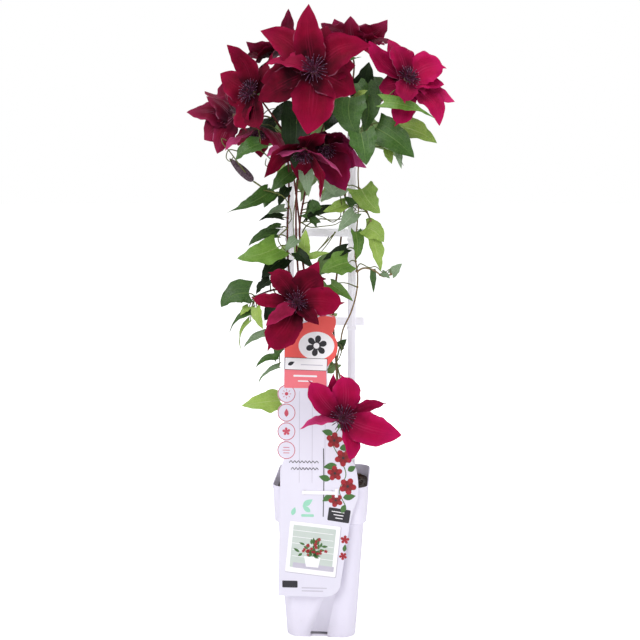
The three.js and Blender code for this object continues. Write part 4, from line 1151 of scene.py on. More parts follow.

# The seventh value of each tepal row is its tone: low tones are painted shade on tepals that lie in shadow,
# higher tones painted light, and tones above 1 a painted pink sheen.
BLOOMS: Tuple[Bloom, ...] = (
    Bloom("a", (-4, -85, 616), (0.06, -0.97, 0.2), (
        (-9, -82, 682, 32, 6, 0.14, 0.55, B, 0, 0, -3), (54, -72, 641, 38, 7, 0.14, 0.6, B, -10, 0, -8),
        (39, -68, 594, 42, 6, 0.12, 0.35, B, -8, 2), (-10, -92, 551, 45, 6, 0.1, 0.6, ACUTE, 0, 0, -3),
        (-52, -88, 622, 22, 6, 0.4, 1.2, ACUTE, 45, 4, 3), (-62, -74, 586, 36, 6, 0.2, 0, ACUTE, 10),
        (-60, -70, 657, 34, 6, 0.14, 0.6, B, -8, 0, 6), (9, -66, 662, 31, 3, 0.1, 0.15),
        (-60, -66, 606, 34, 4, 0.12, 0), (38, -66, 622, 33, 5, 0.12, 0.3, B),
    ), reach=12.5),
    Bloom("b", (-72, -55, 595), (-0.5, -0.75, 0.35), (
        (-96, -62, 644, 26, -5, 0.2, 0.45, ACUTE, 0, -2, 6), (-106, -44, 616, 34, 4, 0.14, 0.5, B),
        (-77, -74, 554, 30, 4, 0.15, 0.5, R, 10, -2, 2), (-98, -44, 588, 30, 5, 0.12, 0.2, ACUTE, -10),
        (-62, -84, 554, 28, 5, 0.15, 0.05, R, -10, 0, -2), (-54, -46, 624, 34, 4, 0.12, 0),
    ), reach=11),
    Bloom("c", (92, -48, 609), (0.4, -0.66, 0.63), (
        (78, -40, 646, 36, 4, 0.15, 0.3, R), (132, -42, 623, 40, 6, 0.12, 0.85, R, 0, 0, -3),
        (141, -56, 585, 18, -3, 0.1, 1.3, ACUTE, 30, 2, -5),
        (125, -68, 560, 24, 5, 0.15, 0.6, ACUTE, 20, -3, -8), (86, -88, 583, 26, 4, 0.15, 0.2, R),
        (82, -70, 558, 30, 6, 0.12, 0.4, R), (51, -42, 649, 25, -4, 0.2, 0.45, ACUTE, -20, 0, -3),
        (62, -44, 602, 34, 3, 0.1, 0.1, ACUTE, 0, 0, -3), (72, -18, 653, 26, 4, 0.15, 0.4, ACUTE, 0, 2),
        (130, -50, 603, 20, 3, 0.2, 0.75, ACUTE, 20, 2),
    ), colour=Petals.MAGENTA, reach=11),
    Bloom("d", (34, 30, 655), (0.15, 0.26, 0.95), (
        (70, 12, 677, 32, -4, 0.15, 0.95, B, -20, 3), (74, 8, 654, 30, 4, 0.1, 0.8),
        (-2, -2, 672, 26, 3, 0.15, 1.0, ACUTE, 20, 3), (30, 2, 680, 32, -5, 0.15, 0.8, B),
        (12, 8, 678, 24, -4, 0.15, 1.2, ACUTE, 30, 2), (30, 84, 664, 28, 5, 0.12, 0.5),
        (66, 66, 655, 29, 5, 0.12, 0.6, ACUTE, 10), (-4, 66, 656, 27, 5, 0.12, 0.4, ACUTE, -10),
        (52, -26, 636, 34, 4, 0.15, 0.6, B, 0, 2),
    ), wave=2.0, reach=12),
    Bloom("e", (-49, 20, 646), (-0.35, 0.3, 0.85), (
        (-35, -24, 685, 23, -4, 0.2, 0.5, B, -10, 2), (-82, -14, 652, 32, -4, 0.15, 0.7, B, 0, 3),
        (-76, -14, 626, 36, 4, 0.15, 0.5, B), (-84, 64, 646, 29, 5, 0.12, 0.5),
        (-38, 78, 648, 29, 5, 0.12, 0.6, ACUTE, 10), (-100, 34, 634, 26, 5, 0.12, 0.4),
        (-12, 42, 664, 24, 5, 0.12, 0.4), (-66, -36, 602, 42, 8, 0.1, 0.35, B),
    ), wave=1.6, reach=12),
    Bloom("f", (-99, -5, 570), (-0.62, 0.45, -0.55), (
        (-148, -14, 577, 42, -5, 0.12, 0.55, B), (-127, -26, 547, 38, -4, 0.12, 0.5, ACUTE, 10),
        (-112, -32, 532, 24, -3, 0.2, 0.7, ACUTE, 20, 0, -3), (-134, 24, 602, 26, -4, 0.15, 0.4),
        (-112, 40, 616, 27, 3, 0.12, 0.5), (-98, 50, 574, 28, -4, 0.15, 0.5),
        (-126, -14, 594, 38, -4, 0.12, 0.4, B),
    ), rise=62, reach=12),
    Bloom("g", (-16, -60, 534), (-0.1, -0.5, -0.86), (
        (-53, -78, 529, 26, -4, 0.2, 1.8, B, -60, 4), (-55, -86, 507, 28, -8, 0.2, 0.2, ACUTE, 30),
        (0, -86, 553, 32, -5, 0.15, 0.4, R, 20), (2, -84, 483, 26, -9, 0.2, 0.5, ACUTE, 0, 2),
        (26, -98, 508, 24, -5, 0.15, 1.6, B, 10, 2), (-24, -34, 504, 26, -7, 0.2, 0.2),
    ), rise=62, reach=11),
    Bloom("h", (7, -40, 538), (0.1, -0.85, -0.5), (
        (28, -60, 493, 38, -5, 0.2, 0.7, B), (-4, -58, 553, 22, -4, 0.2, 0), (22, -60, 553, 22, -4, 0.2, 0),
        (37, -58, 541, 28, -5, 0.2, 1.5, ACUTE, 0, 3), (38, -56, 519, 30, -5, 0.2, 0.7, ACUTE, 10, 2),
        (-9, -52, 524, 20, -5, 0.2, 0), (49, -30, 517, 22, -4, 0.2, 1.7, B),
    ), rise=62, colour=Petals.DUSK, reach=9),
    Bloom("i", (-24, -60, 375), (0.05, -0.97, 0.12), (
        (-53, -56, 409, 25, 5, 0.12, 0.25, R, 0, 0, 3), (7, -60, 403, 38, 6, 0.1, 0.1, R, 0, 0, -5),
        (27, -66, 372, 33, 5, 0.12, 0.7, R, 0, 0, -3), (-74, -60, 377, 17, 4, 0.25, 0.5, R, 25),
        (-57, -74, 327, 38, 6, 0.1, 0.5, R, 0, 0, -5), (-1, -50, 418, 21, 4, 0.12, 0.95),
        (-55, -80, 352, 18, 4, 0.35, 1.3, ACUTE, 30, 3), (1, -77, 353, 18, 4, 0.3, 0, ACUTE, -20),
    ), reach=10),
    Bloom("j", (27, -95, 257), (0.2, -0.93, 0.25), (
        (-6, -92, 298, 27, 5, 0.14, 0.5, R, 0, 0, -5), (17, -90, 304, 19, -4, 0.25, 0.3, S, 0, 0, -3),
        (27, -86, 303, 32, 4, 0.12, 0.5, R, 0, 0, 3), (73, -98, 276, 15, -3, 0.2, 0.35, R, 30, 2, -3),
        (89, -104, 242, 34, 6, 0.12, 0.75, ACUTE, 0, 0, 4, 2.0),
        (38, -112, 213, 19, 6, 0.2, 0.85, R, -20, 0, -3), (-17, -106, 247, 12, 3, 0.2, 1.6, ACUTE, 50, 0, 4),
    ), colour=Petals.MAGENTA, reach=12.5),
    Bloom("k", (-67, -45, 556), (0.05, -0.35, -0.93), (
        (-99, -60, 535, 22, -4, 0.2, 1.5, ACUTE, -40, 3), (-33, -64, 532, 22, -4, 0.2, 0.9, ACUTE, 40, -3),
        (-66, -20, 528, 22, -5, 0.2, 0.3), (-94, 2, 541, 23, -4, 0.2, 0.4), (-44, 2, 541, 23, -4, 0.2, 0.4),
    ), rise=62, reach=9),
)


# ---- stems and leaves ----


FRONT, LOW, SKY, BACK = (0.05, -0.85, 0.5), (0.1, -0.6, 0.8), (0, -0.3, 0.95), (0, 0.85, 0.5)
WEST, EAST, OUT = (-0.5, -0.6, 0.6), (0.5, -0.6, 0.6), (0.6, 0.2, 0.7)
# D marks a leaf in shade (painted shade); Y also brightens leaves that the lamps leave dark (painted light).
D, M, L, Y, G = LeafTone


def leaf(
    seed: int, foot: Point, tip: Point, width: float, _green: LeafTone, face: Point = FRONT, arch: float = 2,
    fold: float = 0.2, roll: float = 0, bow: float = 0, outline: Optional[Outline] = None,
) -> Blade:
    """Returns a leaf; a wide one is mostly heart-shaped if no outline is given.

    Args:
        seed: Seed of its random draws.
        foot, tip: Its ends.
        width, arch, fold, roll, bow, outline: Its form, as Blade says.
        face: The way its upper side looks.
    """
    outline = outline or (Outline.HEART if width >= 24 and seed % 100 % 3 else Outline.LEAF)
    tone = random.Random(seed).uniform(0.15, 0.85)
    wave, thick = 0.05 * width, 0.45
    return Blade(foot, tip, face, width, arch, 0, roll, fold + 0.06, bow, tone, outline, wave, seed, thick)


@dataclass
class LeafyStem:
    """One shoot of the climber with its flower stalks, leaves and twiners.

    A branch is (where it leaves, points on the way, its end or its bloom), and
    each leaf is a row of leaf's values with its green fourth.
    """

    name: str
    main: Sequence[Point]
    branches: Sequence[Tuple[Point, Sequence[Point], "Point | str"]]
    leaves: Sequence[Tuple]
    twiners: Sequence[Sequence[Point]] = ()
    bark: Finish = BARK_RED
    radius: float = 1.35
    buried: float = 19

    @staticmethod
    def stalk_end(bloom: Bloom) -> List[Array]:
        """Returns the last two points of a flower stalk, square on to its bloom."""
        return [np.array(bloom.centre) - bloom.facing * (bloom.depth + back) for back in (8, 0.2)]

    def build(self, blooms: Dict[str, Bloom]) -> None:
        """Makes the stems and the leaves.

        Args:
            blooms: The flowers, by their keys.
        """
        book = MeshBook()
        x, y, z = self.main[0]
        trunk = smooth_path([(x, y, z - self.buried), *self.main], 10)
        paths = [trunk]
        add_tube(book, trunk, lambda k: self.radius * (1.12 - 0.34 * k), 10, 0, 0.5, 0.12)
        for i, (start, via, end) in enumerate(self.branches):
            near = trunk[np.argmin(np.linalg.norm(trunk - np.array(start), axis=1))]
            last = self.stalk_end(blooms[end]) if isinstance(end, str) else [end]
            path = smooth_path([near, *via, *last], 8)
            paths.append(path)
            add_tube(book, path, lambda k: 1.05 - 0.15 * k, 8, 1 if i % 2 else 0, 0.6, 0.08)
            self.add_node(book, near, 1.9)
        for curve in self.twiners:
            add_tube(book, smooth_path(curve, 6), lambda k: 0.8 - 0.36 * k, 6, 2, 0.45)
        self.add_petioles(book, np.concatenate([path[3:-1] for path in paths]))
        stems = book.make(f"stems_{self.name}", [self.bark, BARK_GREEN, BARK_GREEN], 60)
        settle_piece(stems, "foliage", f"leafy_stem_{self.name}")
        self.build_leaves()

    @staticmethod
    def add_node(book: MeshBook, at: Array, size: float) -> None:
        """Adds the swelling where a branch or a petiole leaves the stem."""
        profile = [(0.2, -size), (size * 0.7, -size * 0.7), (size, 0), (size * 0.7, size * 0.7), (0.2, size)]
        add_turned(book, profile, at, (0.1, 0.05, 1), 10, 0)

    def blades(self) -> List[Blade]:
        """Returns the leaves as blades."""
        first = sum(ord(c) for c in self.name) * 100
        return [leaf(first + i, *row) for i, row in enumerate(self.leaves)]

    def add_petioles(self, book: MeshBook, spots: Array) -> None:
        """Adds the stalk of each leaf, from the nearest spot of the stems.

        Args:
            book: The book that they go into.
            spots: Points along the stems.
        """
        for i, blade in enumerate(self.blades()):
            base = np.array(blade.base)
            cost = np.linalg.norm(spots - base, axis=1) + 0.35 * np.maximum(0, spots[:, 2] - base[2])
            spot = spots[np.argmin(cost)]
            middle = (spot + base) / 2 + UP * min(4, dist(spot, base) * 0.1)
            at, _, normal, _ = blade.frame(np.array([0.0, 0.1, 0.22]))
            under = at - normal * np.array([[0.9], [0.45], [0.2]])
            path = smooth_path([spot, middle, *under], 6)
            add_tube(book, path, lambda k: 0.78 - 0.42 * k, 7, 1 + i % 2, 0.35 + 0.05 * ((i * 37) % 10))
            self.add_node(book, spot, 1.5)

    def build_leaves(self) -> None:
        """Makes all the leaves of this shoot as one piece."""
        tones = list(LeafTone)
        book = MeshBook()
        for row, blade in zip(self.leaves, self.blades()):
            slot = 2 * tones.index(row[3])
            rows, columns = (20, 16) if blade.width > 16 else (14, 10)
            blade.add_to(book, rows, columns, slot, slot + 1)
        leaves = book.make(f"leaves_{self.name}", [face for tone in tones for face in tone.finishes()], 50)
        settle_piece(leaves, "foliage", f"leafy_stem_{self.name}")


LEFT = LeafyStem(
    "left",
    ((-16, -12, 165), (-19, -10, 205), (-28, -6, 262), (-33, -4, 320), (-34, -7, 372), (-38, -10, 420),
     (-38, -12, 455), (-36, -16, 490), (-36, -28, 528), (-40, -38, 556)),
    (
        ((-40, -38, 556), ((-52, -42, 574),), "b"),
        ((-36, -29, 530), ((-44, -30, 560), (-56, -34, 571)), "k"),
        ((-36, -9, 400), ((-33, -27, 400), (-27, -42, 388)), "i"),
        ((-36, -16, 486), ((-52, -25, 489),), (-73.2, -30, 502.6)),
        ((-34, -8, 378), ((-50, -20, 384),), (-76, -29, 376)),
        ((-33, -5, 330), ((-38, -14, 326),), (-46, -26, 322)),
    ),
    (
        ((-61, -68, 542), (-86, -80, 525), 24, M, LOW, 4, 0.15),
        ((-57, -30, 490), (-102, -44, 470), 20, M, FRONT, 5, 0.2, 10, -5, TAIL),
        ((-30, -26, 546), (-47, -36, 517), 21, G, FRONT, 3, 0.15),
        ((-31, -22, 513), (-54, -32, 492), 19, M, FRONT, 3, 0.15), ((-53, -24, 491), (-62, -31, 474), 13, G),
        ((-38, -18, 496), (-47, -22, 476), 13, D),
        ((-41, -16, 473), (-60, -22, 467), 11, G, FRONT, 1, 0.2, 20),
        ((-44, -12, 463), (-69, -20, 460), 9, D, FRONT, 2, 0.2, 20, 2),
        ((-46, -10, 453), (-63, -16, 449), 9, M, LOW),
        ((-50, -10, 444), (-81, -18, 432), 16, M, LOW, 3, 0.2, 0, 3),
        ((-48, -26, 431), (-90, -44, 421), 29, L, FRONT, 4, 0.12, 0, -5),
        ((-42, -16, 419), (-66, -24, 397), 22, D, FRONT, 3, 0.15),
        ((-44, -14, 414), (-41, -22, 397), 11, Y, WEST),
        ((-79, -30, 381), (-109, -36, 366), 27, M, FRONT, 3, 0.12, 0, 5),
        ((-56, -26, 395), (-72, -30, 380), 17, D, WEST, 2, 0.15),
        ((-79, -33, 366), (-88, -37, 357), 9, Y, LOW, 1),
        ((-74, -34, 362), (-101, -40, 338), 10, M, FRONT, 2, 0.2, 30, 4, TAIL),
        ((-78, -37, 351), (-88, -43, 320), 11, Y, WEST, 2, 0.2, 40, 4),
        ((-58, -30, 337), (-85, -36, 322), 11, G, LOW, 2, 0.2, 0, 2),
        ((-46, -32, 370), (-62, -32, 351), 19, D), ((-70, -36, 366), (-62, -44, 343), 13, Y, WEST),
        ((-42, -34, 322), (-50, -38, 306), 14, M, WEST),
        ((-48, -39, 312), (-71, -44, 301), 9, M, LOW, 2, 0.2, 0, 3),
        ((-46, -38, 301), (-70, -46, 279), 10, G, WEST, 2, 0.2, 20, 4, TAIL),
        ((-45, -37, 263), (-86, -49, 259), 23, Y, FRONT, 3, 0.15), ((-50, -27, 491), (-60, -34, 475), 13, M),
    ),
    (
        ((-66, -24, 536), (-58, -22, 529), (-53, -22, 523), (-55, -21, 518), (-61, -20, 520),
         (-60, -22, 527)),
        ((-86, -38, 534), (-98, -40, 536), (-101, -40, 528), (-97, -42, 524), (-93, -40, 529)),
        ((-76, -30, 505), (-88, -40, 522), (-98, -44, 536), (-104, -45, 543), (-105, -44, 548),
         (-100, -43, 546)),
        ((-40, -34, 552), (-54, -32, 562), (-64, -26, 564), (-64, -26, 571), (-58, -26, 578),
         (-49, -27, 580), (-42, -28, 576)),
        ((-62, -30, 493), (-51, -34, 491), (-41, -36, 487), (-35, -34, 479), (-32, -28, 464),
         (-37, -14, 456)),
        ((-37, -22, 452), (-47, -26, 441), (-41, -28, 430), (-28, -28, 420)),
        ((-34, -22, 528), (-20, -30, 516), (-25, -26, 498), (-29, -22, 477), (-31, -20, 455),
         (-30, -19, 436)),
    ),
)
CENTRE = LeafyStem(
    "centre",
    ((-6, -16, 165), (-9, -15, 210), (-15, -13, 270), (-20, -15, 330), (-24, -17, 380), (-27, -18, 420),
     (-28, -20, 460), (-26, -26, 500), (-20, -34, 545), (-14, -42, 580), (-9, -56, 604)),
    (((-9, -56, 604), (), "a"), ((-20, -35, 548), ((-17, -46, 556),), "g")),
    (
        ((-27, -27, 440), (-39, -31, 427), 13, G), ((-19, -20, 425), (-17, -22, 451), 14, Y),
        ((-15, -23, 420), (9, -27, 426), 9, Y, FRONT, 1), ((-26, -28, 426), (-8, -34, 409), 13, D),
        ((-24, -48, 576), (-26, -58, 516), 30, D, FRONT, 4, 0.12),
        ((-30, -30, 578), (-56, -34, 566), 22, D, FRONT, 3, 0.15),
        ((-17, -33, 519), (-13, -34, 486), 16, G, FRONT, 2, 0.15),
    ),
)
MIDDLE = LeafyStem(
    "middle",
    ((4, -12, 165), (5, -9, 210), (3, -6, 270), (-5, -7, 330), (-15, -9, 380), (-21, -9, 410),
     (-25, -9, 450), (-20, -10, 484), (-14, -11, 510), (-4, -14, 545), (8, -10, 585), (8, -6, 606)),
    (((-4, -14, 545), ((3, -18, 550),), "h"),),
    (
        ((-10, -10, 479), (-16, -13, 467), 11, M, FRONT, 1),
        ((2, -16, 508), (15, -24, 487), 19, G, FRONT, 2, 0.15),
        ((8, -8, 472), (-22, -14, 458), 12, D, FRONT, 2, 0.2, 20, 2),
        ((-13, -4, 464), (-9, -8, 480), 12, L, FRONT, 1),
        ((14, -40, 574), (6, -50, 556), 20, D, FRONT, 2, 0.15),
        ((8, -2, 612), (-22, -24, 634), 26, M, SKY, 4, 0.15),
        ((14, -4, 612), (42, -26, 636), 26, M, SKY, 4, 0.15),
        ((-6, -8, 467), (-12, -14, 483), 14, M, FRONT, 2, 0.2, 0, 0, R),
        ((-6, -8, 456), (-25, -14, 465), 11, M, FRONT, 2, 0.2, 20, 2),
    ),
    (
        ((-20, 8, 457), (-12, 8, 465), (-1, 8, 463), (11, 8, 457), (22, 8, 464), (28, 8, 455), (19, 8, 449)),
        ((-22, -9, 446), (-18, -5, 453), (-4, -7, 461), (12, -7, 460), (26, -5, 463), (36, -2, 471),
         (39, 2, 484)),
        ((-24, -9, 458), (-14, -3, 452), (0, -5, 453), (14, -5, 455), (22, -6, 459), (30, -6, 456)),
        ((11, -9, 504), (17, -8, 494), (21, -8, 480), (21, -8, 471), (18, -7, 461), (10, -6, 460)),
        ((19, -6, 500), (24, -5, 487), (30, -5, 478), (38, 1, 470)),
        ((14, 2, 446), (9, 2, 441), (3, 0, 434), (-5, -2, 426)),
        ((14, 1, 447), (10, 0, 440), (3, -2, 430), (-2, -4, 424)),
    ),
)
RIGHT = LeafyStem(
    "right",
    ((18, -12, 165), (20, -10, 205), (18, -8, 255), (16, -8, 300), (20, -6, 321), (23, -6, 338),
     (32, -6, 358), (38, -4, 380), (39, -2, 399), (36, 1, 421), (38, 4, 454), (40, 4, 482), (39, 2, 515),
     (44, -4, 545), (58, -12, 580), (76, -27, 600)),
    (
        ((76, -27, 600), (), "c"), ((16, -8, 300), ((21, -30, 288), (25, -62, 268)), "j"),
        ((38, 0, 404), ((46, -5, 407), (57, -8, 405), (68, -8, 398)), (77, -8, 401)),
        ((40, 4, 474), ((48, -5, 470),), (54, -8, 458)),
    ),
    (
        ((24, -8, 497), (-2, -14, 481), 19, G, FRONT, 2, 0.15),
        ((26, -6, 478), (0, -12, 469), 15, Y, FRONT, 2, 0.2, 0, -2), ((36, -12, 468), (18, -20, 448), 16, G),
        ((34, -6, 476), (24, -10, 486), 11, M, FRONT, 1),
        ((43, -10, 494), (64, -16, 468), 30, Y, FRONT, 3, 0.12, 0, 3),
        ((48, -8, 452), (68, -12, 436), 22, Y, FRONT, 3, 0.2, 20, -2),
        ((55, -8, 442), (65, -12, 404), 17, Y, EAST, 3, 0.2, 20, 2),
        ((37, -10, 447), (38, -16, 416), 17, L, EAST, 3), ((27, -8, 429), (0, -12, 416), 12, D),
        ((29, -14, 414), (-1, -26, 404), 29, L, FRONT, 3, 0.12), ((10, -16, 390), (35, -22, 372), 13, L),
        ((56, -8, 404), (57, -12, 380), 7, M, FRONT, 1), ((66, -8, 402), (75, -10, 396), 7, G, FRONT, 1),
        ((77, -8, 401), (88, -10, 413), 11, G, FRONT, 1), ((20, -18, 320), (28, -22, 330), 10, M, FRONT, 1),
        ((32, -54, 590), (42, -62, 549), 32, M, FRONT, 4, 0.12, 0, 6),
        ((44, -66, 553), (50, -74, 520), 29, M, FRONT, 3, 0.15, 0, 0, HEART),
        ((59, -36, 559), (100, -50, 528), 36, M, FRONT, 5, 0.12),
        ((80, -24, 561), (124, -33, 543), 27, Y, FRONT, 4, 0.15, 0, -2),
        ((68, -78, 584), (122, -72, 567), 17, L, FRONT, 4, 0.2, 0, -2, TAIL),
        ((44, -20, 594), (51, -24, 629), 26, D, FRONT, 3, 0.15),
        ((46, -28, 602), (46, -42, 554), 27, M, FRONT, 3, 0.15, 0, -5),
        ((39, -34, 606), (50, -40, 588), 18, M), ((39, -41, 590), (50, -46, 598), 9, Y),
        ((59, -22, 596), (71, -28, 604), 11, G), ((72, -38, 536), (76, -43, 521), 10, Y, FRONT, 1, 0.2, 30),
        ((83, -38, 536), (86, -44, 516), 8, G, FRONT, 1, 0.2, 30),
        ((52, 4, 546), (90, 14, 520), 29, M, OUT, 4, 0.15),
    ),
    (
        ((37, 0, 403), (42, -8, 412), (52, -8, 408), (59, -8, 409), (68, -8, 402), (74, -9, 406),
         (77, -7, 400)),
        ((16, -10, 325), (23, -30, 321), (20, -31, 310), (13, -31, 301), (8, -30, 297)),
    ),
    BARK_TAN,
    radius=1.0,
)
REAR_RIGHT = LeafyStem(
    "rear_right",
    ((16, 28, 165), (19, 29, 220), (14, 31, 290), (10, 32, 350), (17, 30, 420), (23, 32, 480),
     (26, 35, 540), (30, 36, 600)),
    (((30, 36, 600), ((33, 31, 630),), "d"),),
    (
        ((40, 46, 562), (76, 60, 534), 34, M, BACK, 4, 0.12),
        ((24, 46, 524), (8, 64, 498), 26, M, BACK, 4, 0.12),
        ((18, 42, 502), (-6, 58, 478), 24, L, BACK, 4, 0.12),
        ((10, 42, 412), (-14, 52, 390), 25, M, BACK, 3, 0.15),
        ((6, 42, 352), (-16, 52, 334), 22, L, BACK, 3, 0.15),
        ((10, 42, 292), (-12, 50, 272), 22, M, BACK, 3, 0.15),
        ((44, 44, 604), (84, 50, 596), 30, D, BACK, 4, 0.15),
        ((18, 40, 250), (-4, 50, 236), 18, L, BACK, 2, 0.15),
        ((14, 50, 616), (-14, 66, 596), 32, M, BACK, 4, 0.12),
    ),
    (((8, 32, 446), (3, 24, 436), (-7, 20, 424), (-14, 24, 416)),),
    BARK_BROWN,
)
REAR_LEFT = LeafyStem(
    "rear_left",
    ((-18, 28, 165), (-22, 30, 220), (-26, 31, 300), (-22, 29, 370), (-27, 31, 440), (-34, 32, 500),
     (-42, 27, 555), (-45, 20, 600)),
    (
        ((-45, 20, 600), ((-46, 17, 625),), "e"), ((-41, 28, 550), ((-68, 14, 566), (-84, -3, 576)), "f"),
    ),
    (
        ((-50, 40, 562), (-84, 54, 538), 32, M, BACK, 4, 0.12),
        ((-36, 44, 522), (-58, 62, 494), 28, L, BACK, 4, 0.12),
        ((-28, 42, 490), (-8, 60, 508), 24, M, BACK, 3, 0.15),
        ((-30, 42, 424), (-60, 52, 406), 24, L, BACK, 4, 0.12),
        ((-20, 40, 390), (4, 50, 376), 20, M, BACK, 3, 0.15),
        ((-26, 42, 320), (-36, 52, 298), 20, L, BACK, 3, 0.15),
        ((-20, 42, 240), (-2, 50, 222), 19, M, BACK, 3, 0.15),
        ((-52, 34, 600), (-92, 44, 596), 28, D, BACK, 4, 0.15),
        ((-26, 46, 580), (-2, 64, 548), 32, M, BACK, 4, 0.12),
        ((-54, 8, 560), (-90, 14, 552), 26, D, WEST, 4, 0.15),
    ),
)

STEMS = (LEFT, CENTRE, MIDDLE, RIGHT, REAR_RIGHT, REAR_LEFT)


@dataclass
class Bud:
    """The closed, ribbed flower bud on its stalk."""

    foot: Point = (-74, -30.3, 503.4)
    tip: Point = (-99, -30, 527)
    profile: Sequence[Flat] = (
        (1.0, -0.02), (1.9, 0.0), (3.0, 0.03), (4.0, 0.09), (4.7, 0.19), (5.1, 0.33), (5.0, 0.46), (4.5, 0.6),
        (3.7, 0.72), (2.7, 0.84), (1.7, 0.92), (0.8, 0.975), (0.1, 1.0),
    )

    def build(self) -> None:
        """Makes the bud."""
        foot, tip = np.array(self.foot), np.array(self.tip)
        length = dist(foot, tip)
        book = MeshBook()
        add_turned(book, [(r, t * length) for r, t in self.profile], foot, tip - foot, 36, 0, 6, 0.07)
        settle_piece(book.make("flower_bud", [BUD_SKIN], 70), "bud", "bud")


# ---- pot and trellis ----


@dataclass
class NurseryPot:
    """The square moulded pot with a stepped collar and notched foot."""

    height: float = 170
    foot_half: float = 38.6
    body_half: float = 47.8
    body_top: float = 127
    collar_base: float = 128.2
    collar_half: float = 51.2
    rim_half: float = 53.3
    wall: float = 1.5
    floor: float = 2
    corner: float = 14
    notch: Tuple[float, float, float] = (19, 7, 3.5)
    notch_shift: float = -1.5
    steps: int = 9

    def ring(self, half: float, z: float, inset: float = 0) -> Array:
        """Returns one square ring with round corners.

        Args:
            half: Half of the width across.
            z: Height of the ring.
            inset: How far it lies inside the outer wall.

        Returns:
            The ring's corners, one row each.
        """
        wide = 2 * (half - inset)
        return np.array([(x, y, z) for x, y in rounded(wide, wide, self.corner - inset, self.steps)])

    def build(self) -> None:
        """Makes the pot."""
        foot, body, collar, rim = self.foot_half, self.body_half, self.collar_half, self.rim_half
        step, ledge, top, wall = self.body_top, self.collar_base, self.height, self.wall
        profile = (
            # the foot with its rounded edge, and the body up to the step
            (foot - 1.2, -BELOW), (foot - 0.3, 0.4 - BELOW), (foot + 0.1, 1.4 - BELOW),
            (body - 0.1, step - 1),
            (body + 0.3, step),
            # the collar and the rounded rim
            (collar - 1.1, ledge - 0.1), (collar - 0.3, ledge + 0.2), (collar, ledge + 1),
            (rim - 0.75, top - 4.6), (rim - 0.2, top - 4), (rim, top - 3.2), (rim, top - 0.7),
            (rim - 0.25, top - 0.2), (rim - 0.6, top),
            # down the inside to the floor
            (rim, top, wall - 0.4), (rim, top - 0.5, wall), (collar, ledge + wall + 1, wall),
            (collar, ledge + wall, wall + 1), (body, step + wall, wall),
            (foot + 0.15, self.floor + 1 - BELOW, wall), (foot + 0.15, self.floor - BELOW, wall + 1.5),
        )
        rings = [self.ring(*row) for row in profile]
        book = MeshBook()
        book.add(np.concatenate(rings), ring_faces(len(rings), len(rings[0])))
        pot = book.make("nursery_pot", [POT_PLASTIC], 32)
        self.cut_notches(pot)
        settle_piece(pot, "pot", "pot")

    def cut_notches(self, pot: Object) -> None:
        """Cuts the four shallow notches of the foot.

        Args:
            pot: The uncut pot.
        """
        width, height, deep = self.notch
        out, middle = self.foot_half, self.notch_shift
        low = (middle - width / 2, -out - 6, -6 - BELOW)
        high = (middle + width / 2, deep - out, height - BELOW)
        book = MeshBook()
        for q in range(4):
            part = MeshBook()
            add_soft_box(part, low, high, 0.8, 0, 3)
            turn = np.array(Matrix.Rotation(q * pi / 2, 3, "Z"))
            book.add(part.verts[0] @ turn.T, part.faces)
        cutter = book.make("notch_cutter", [], 60)
        cut = pot.modifiers.new("notches", "BOOLEAN")
        cut.operation, cut.object, cut.solver = "DIFFERENCE", cutter, "EXACT"
        shown = pot.evaluated_get(bpy.context.evaluated_depsgraph_get())
        mesh = bpy.data.meshes.new_from_object(shown)
        pot.modifiers.clear()
        old, pot.data = pot.data, mesh
        bpy.data.meshes.remove(old)
        bpy.data.objects.remove(cutter)


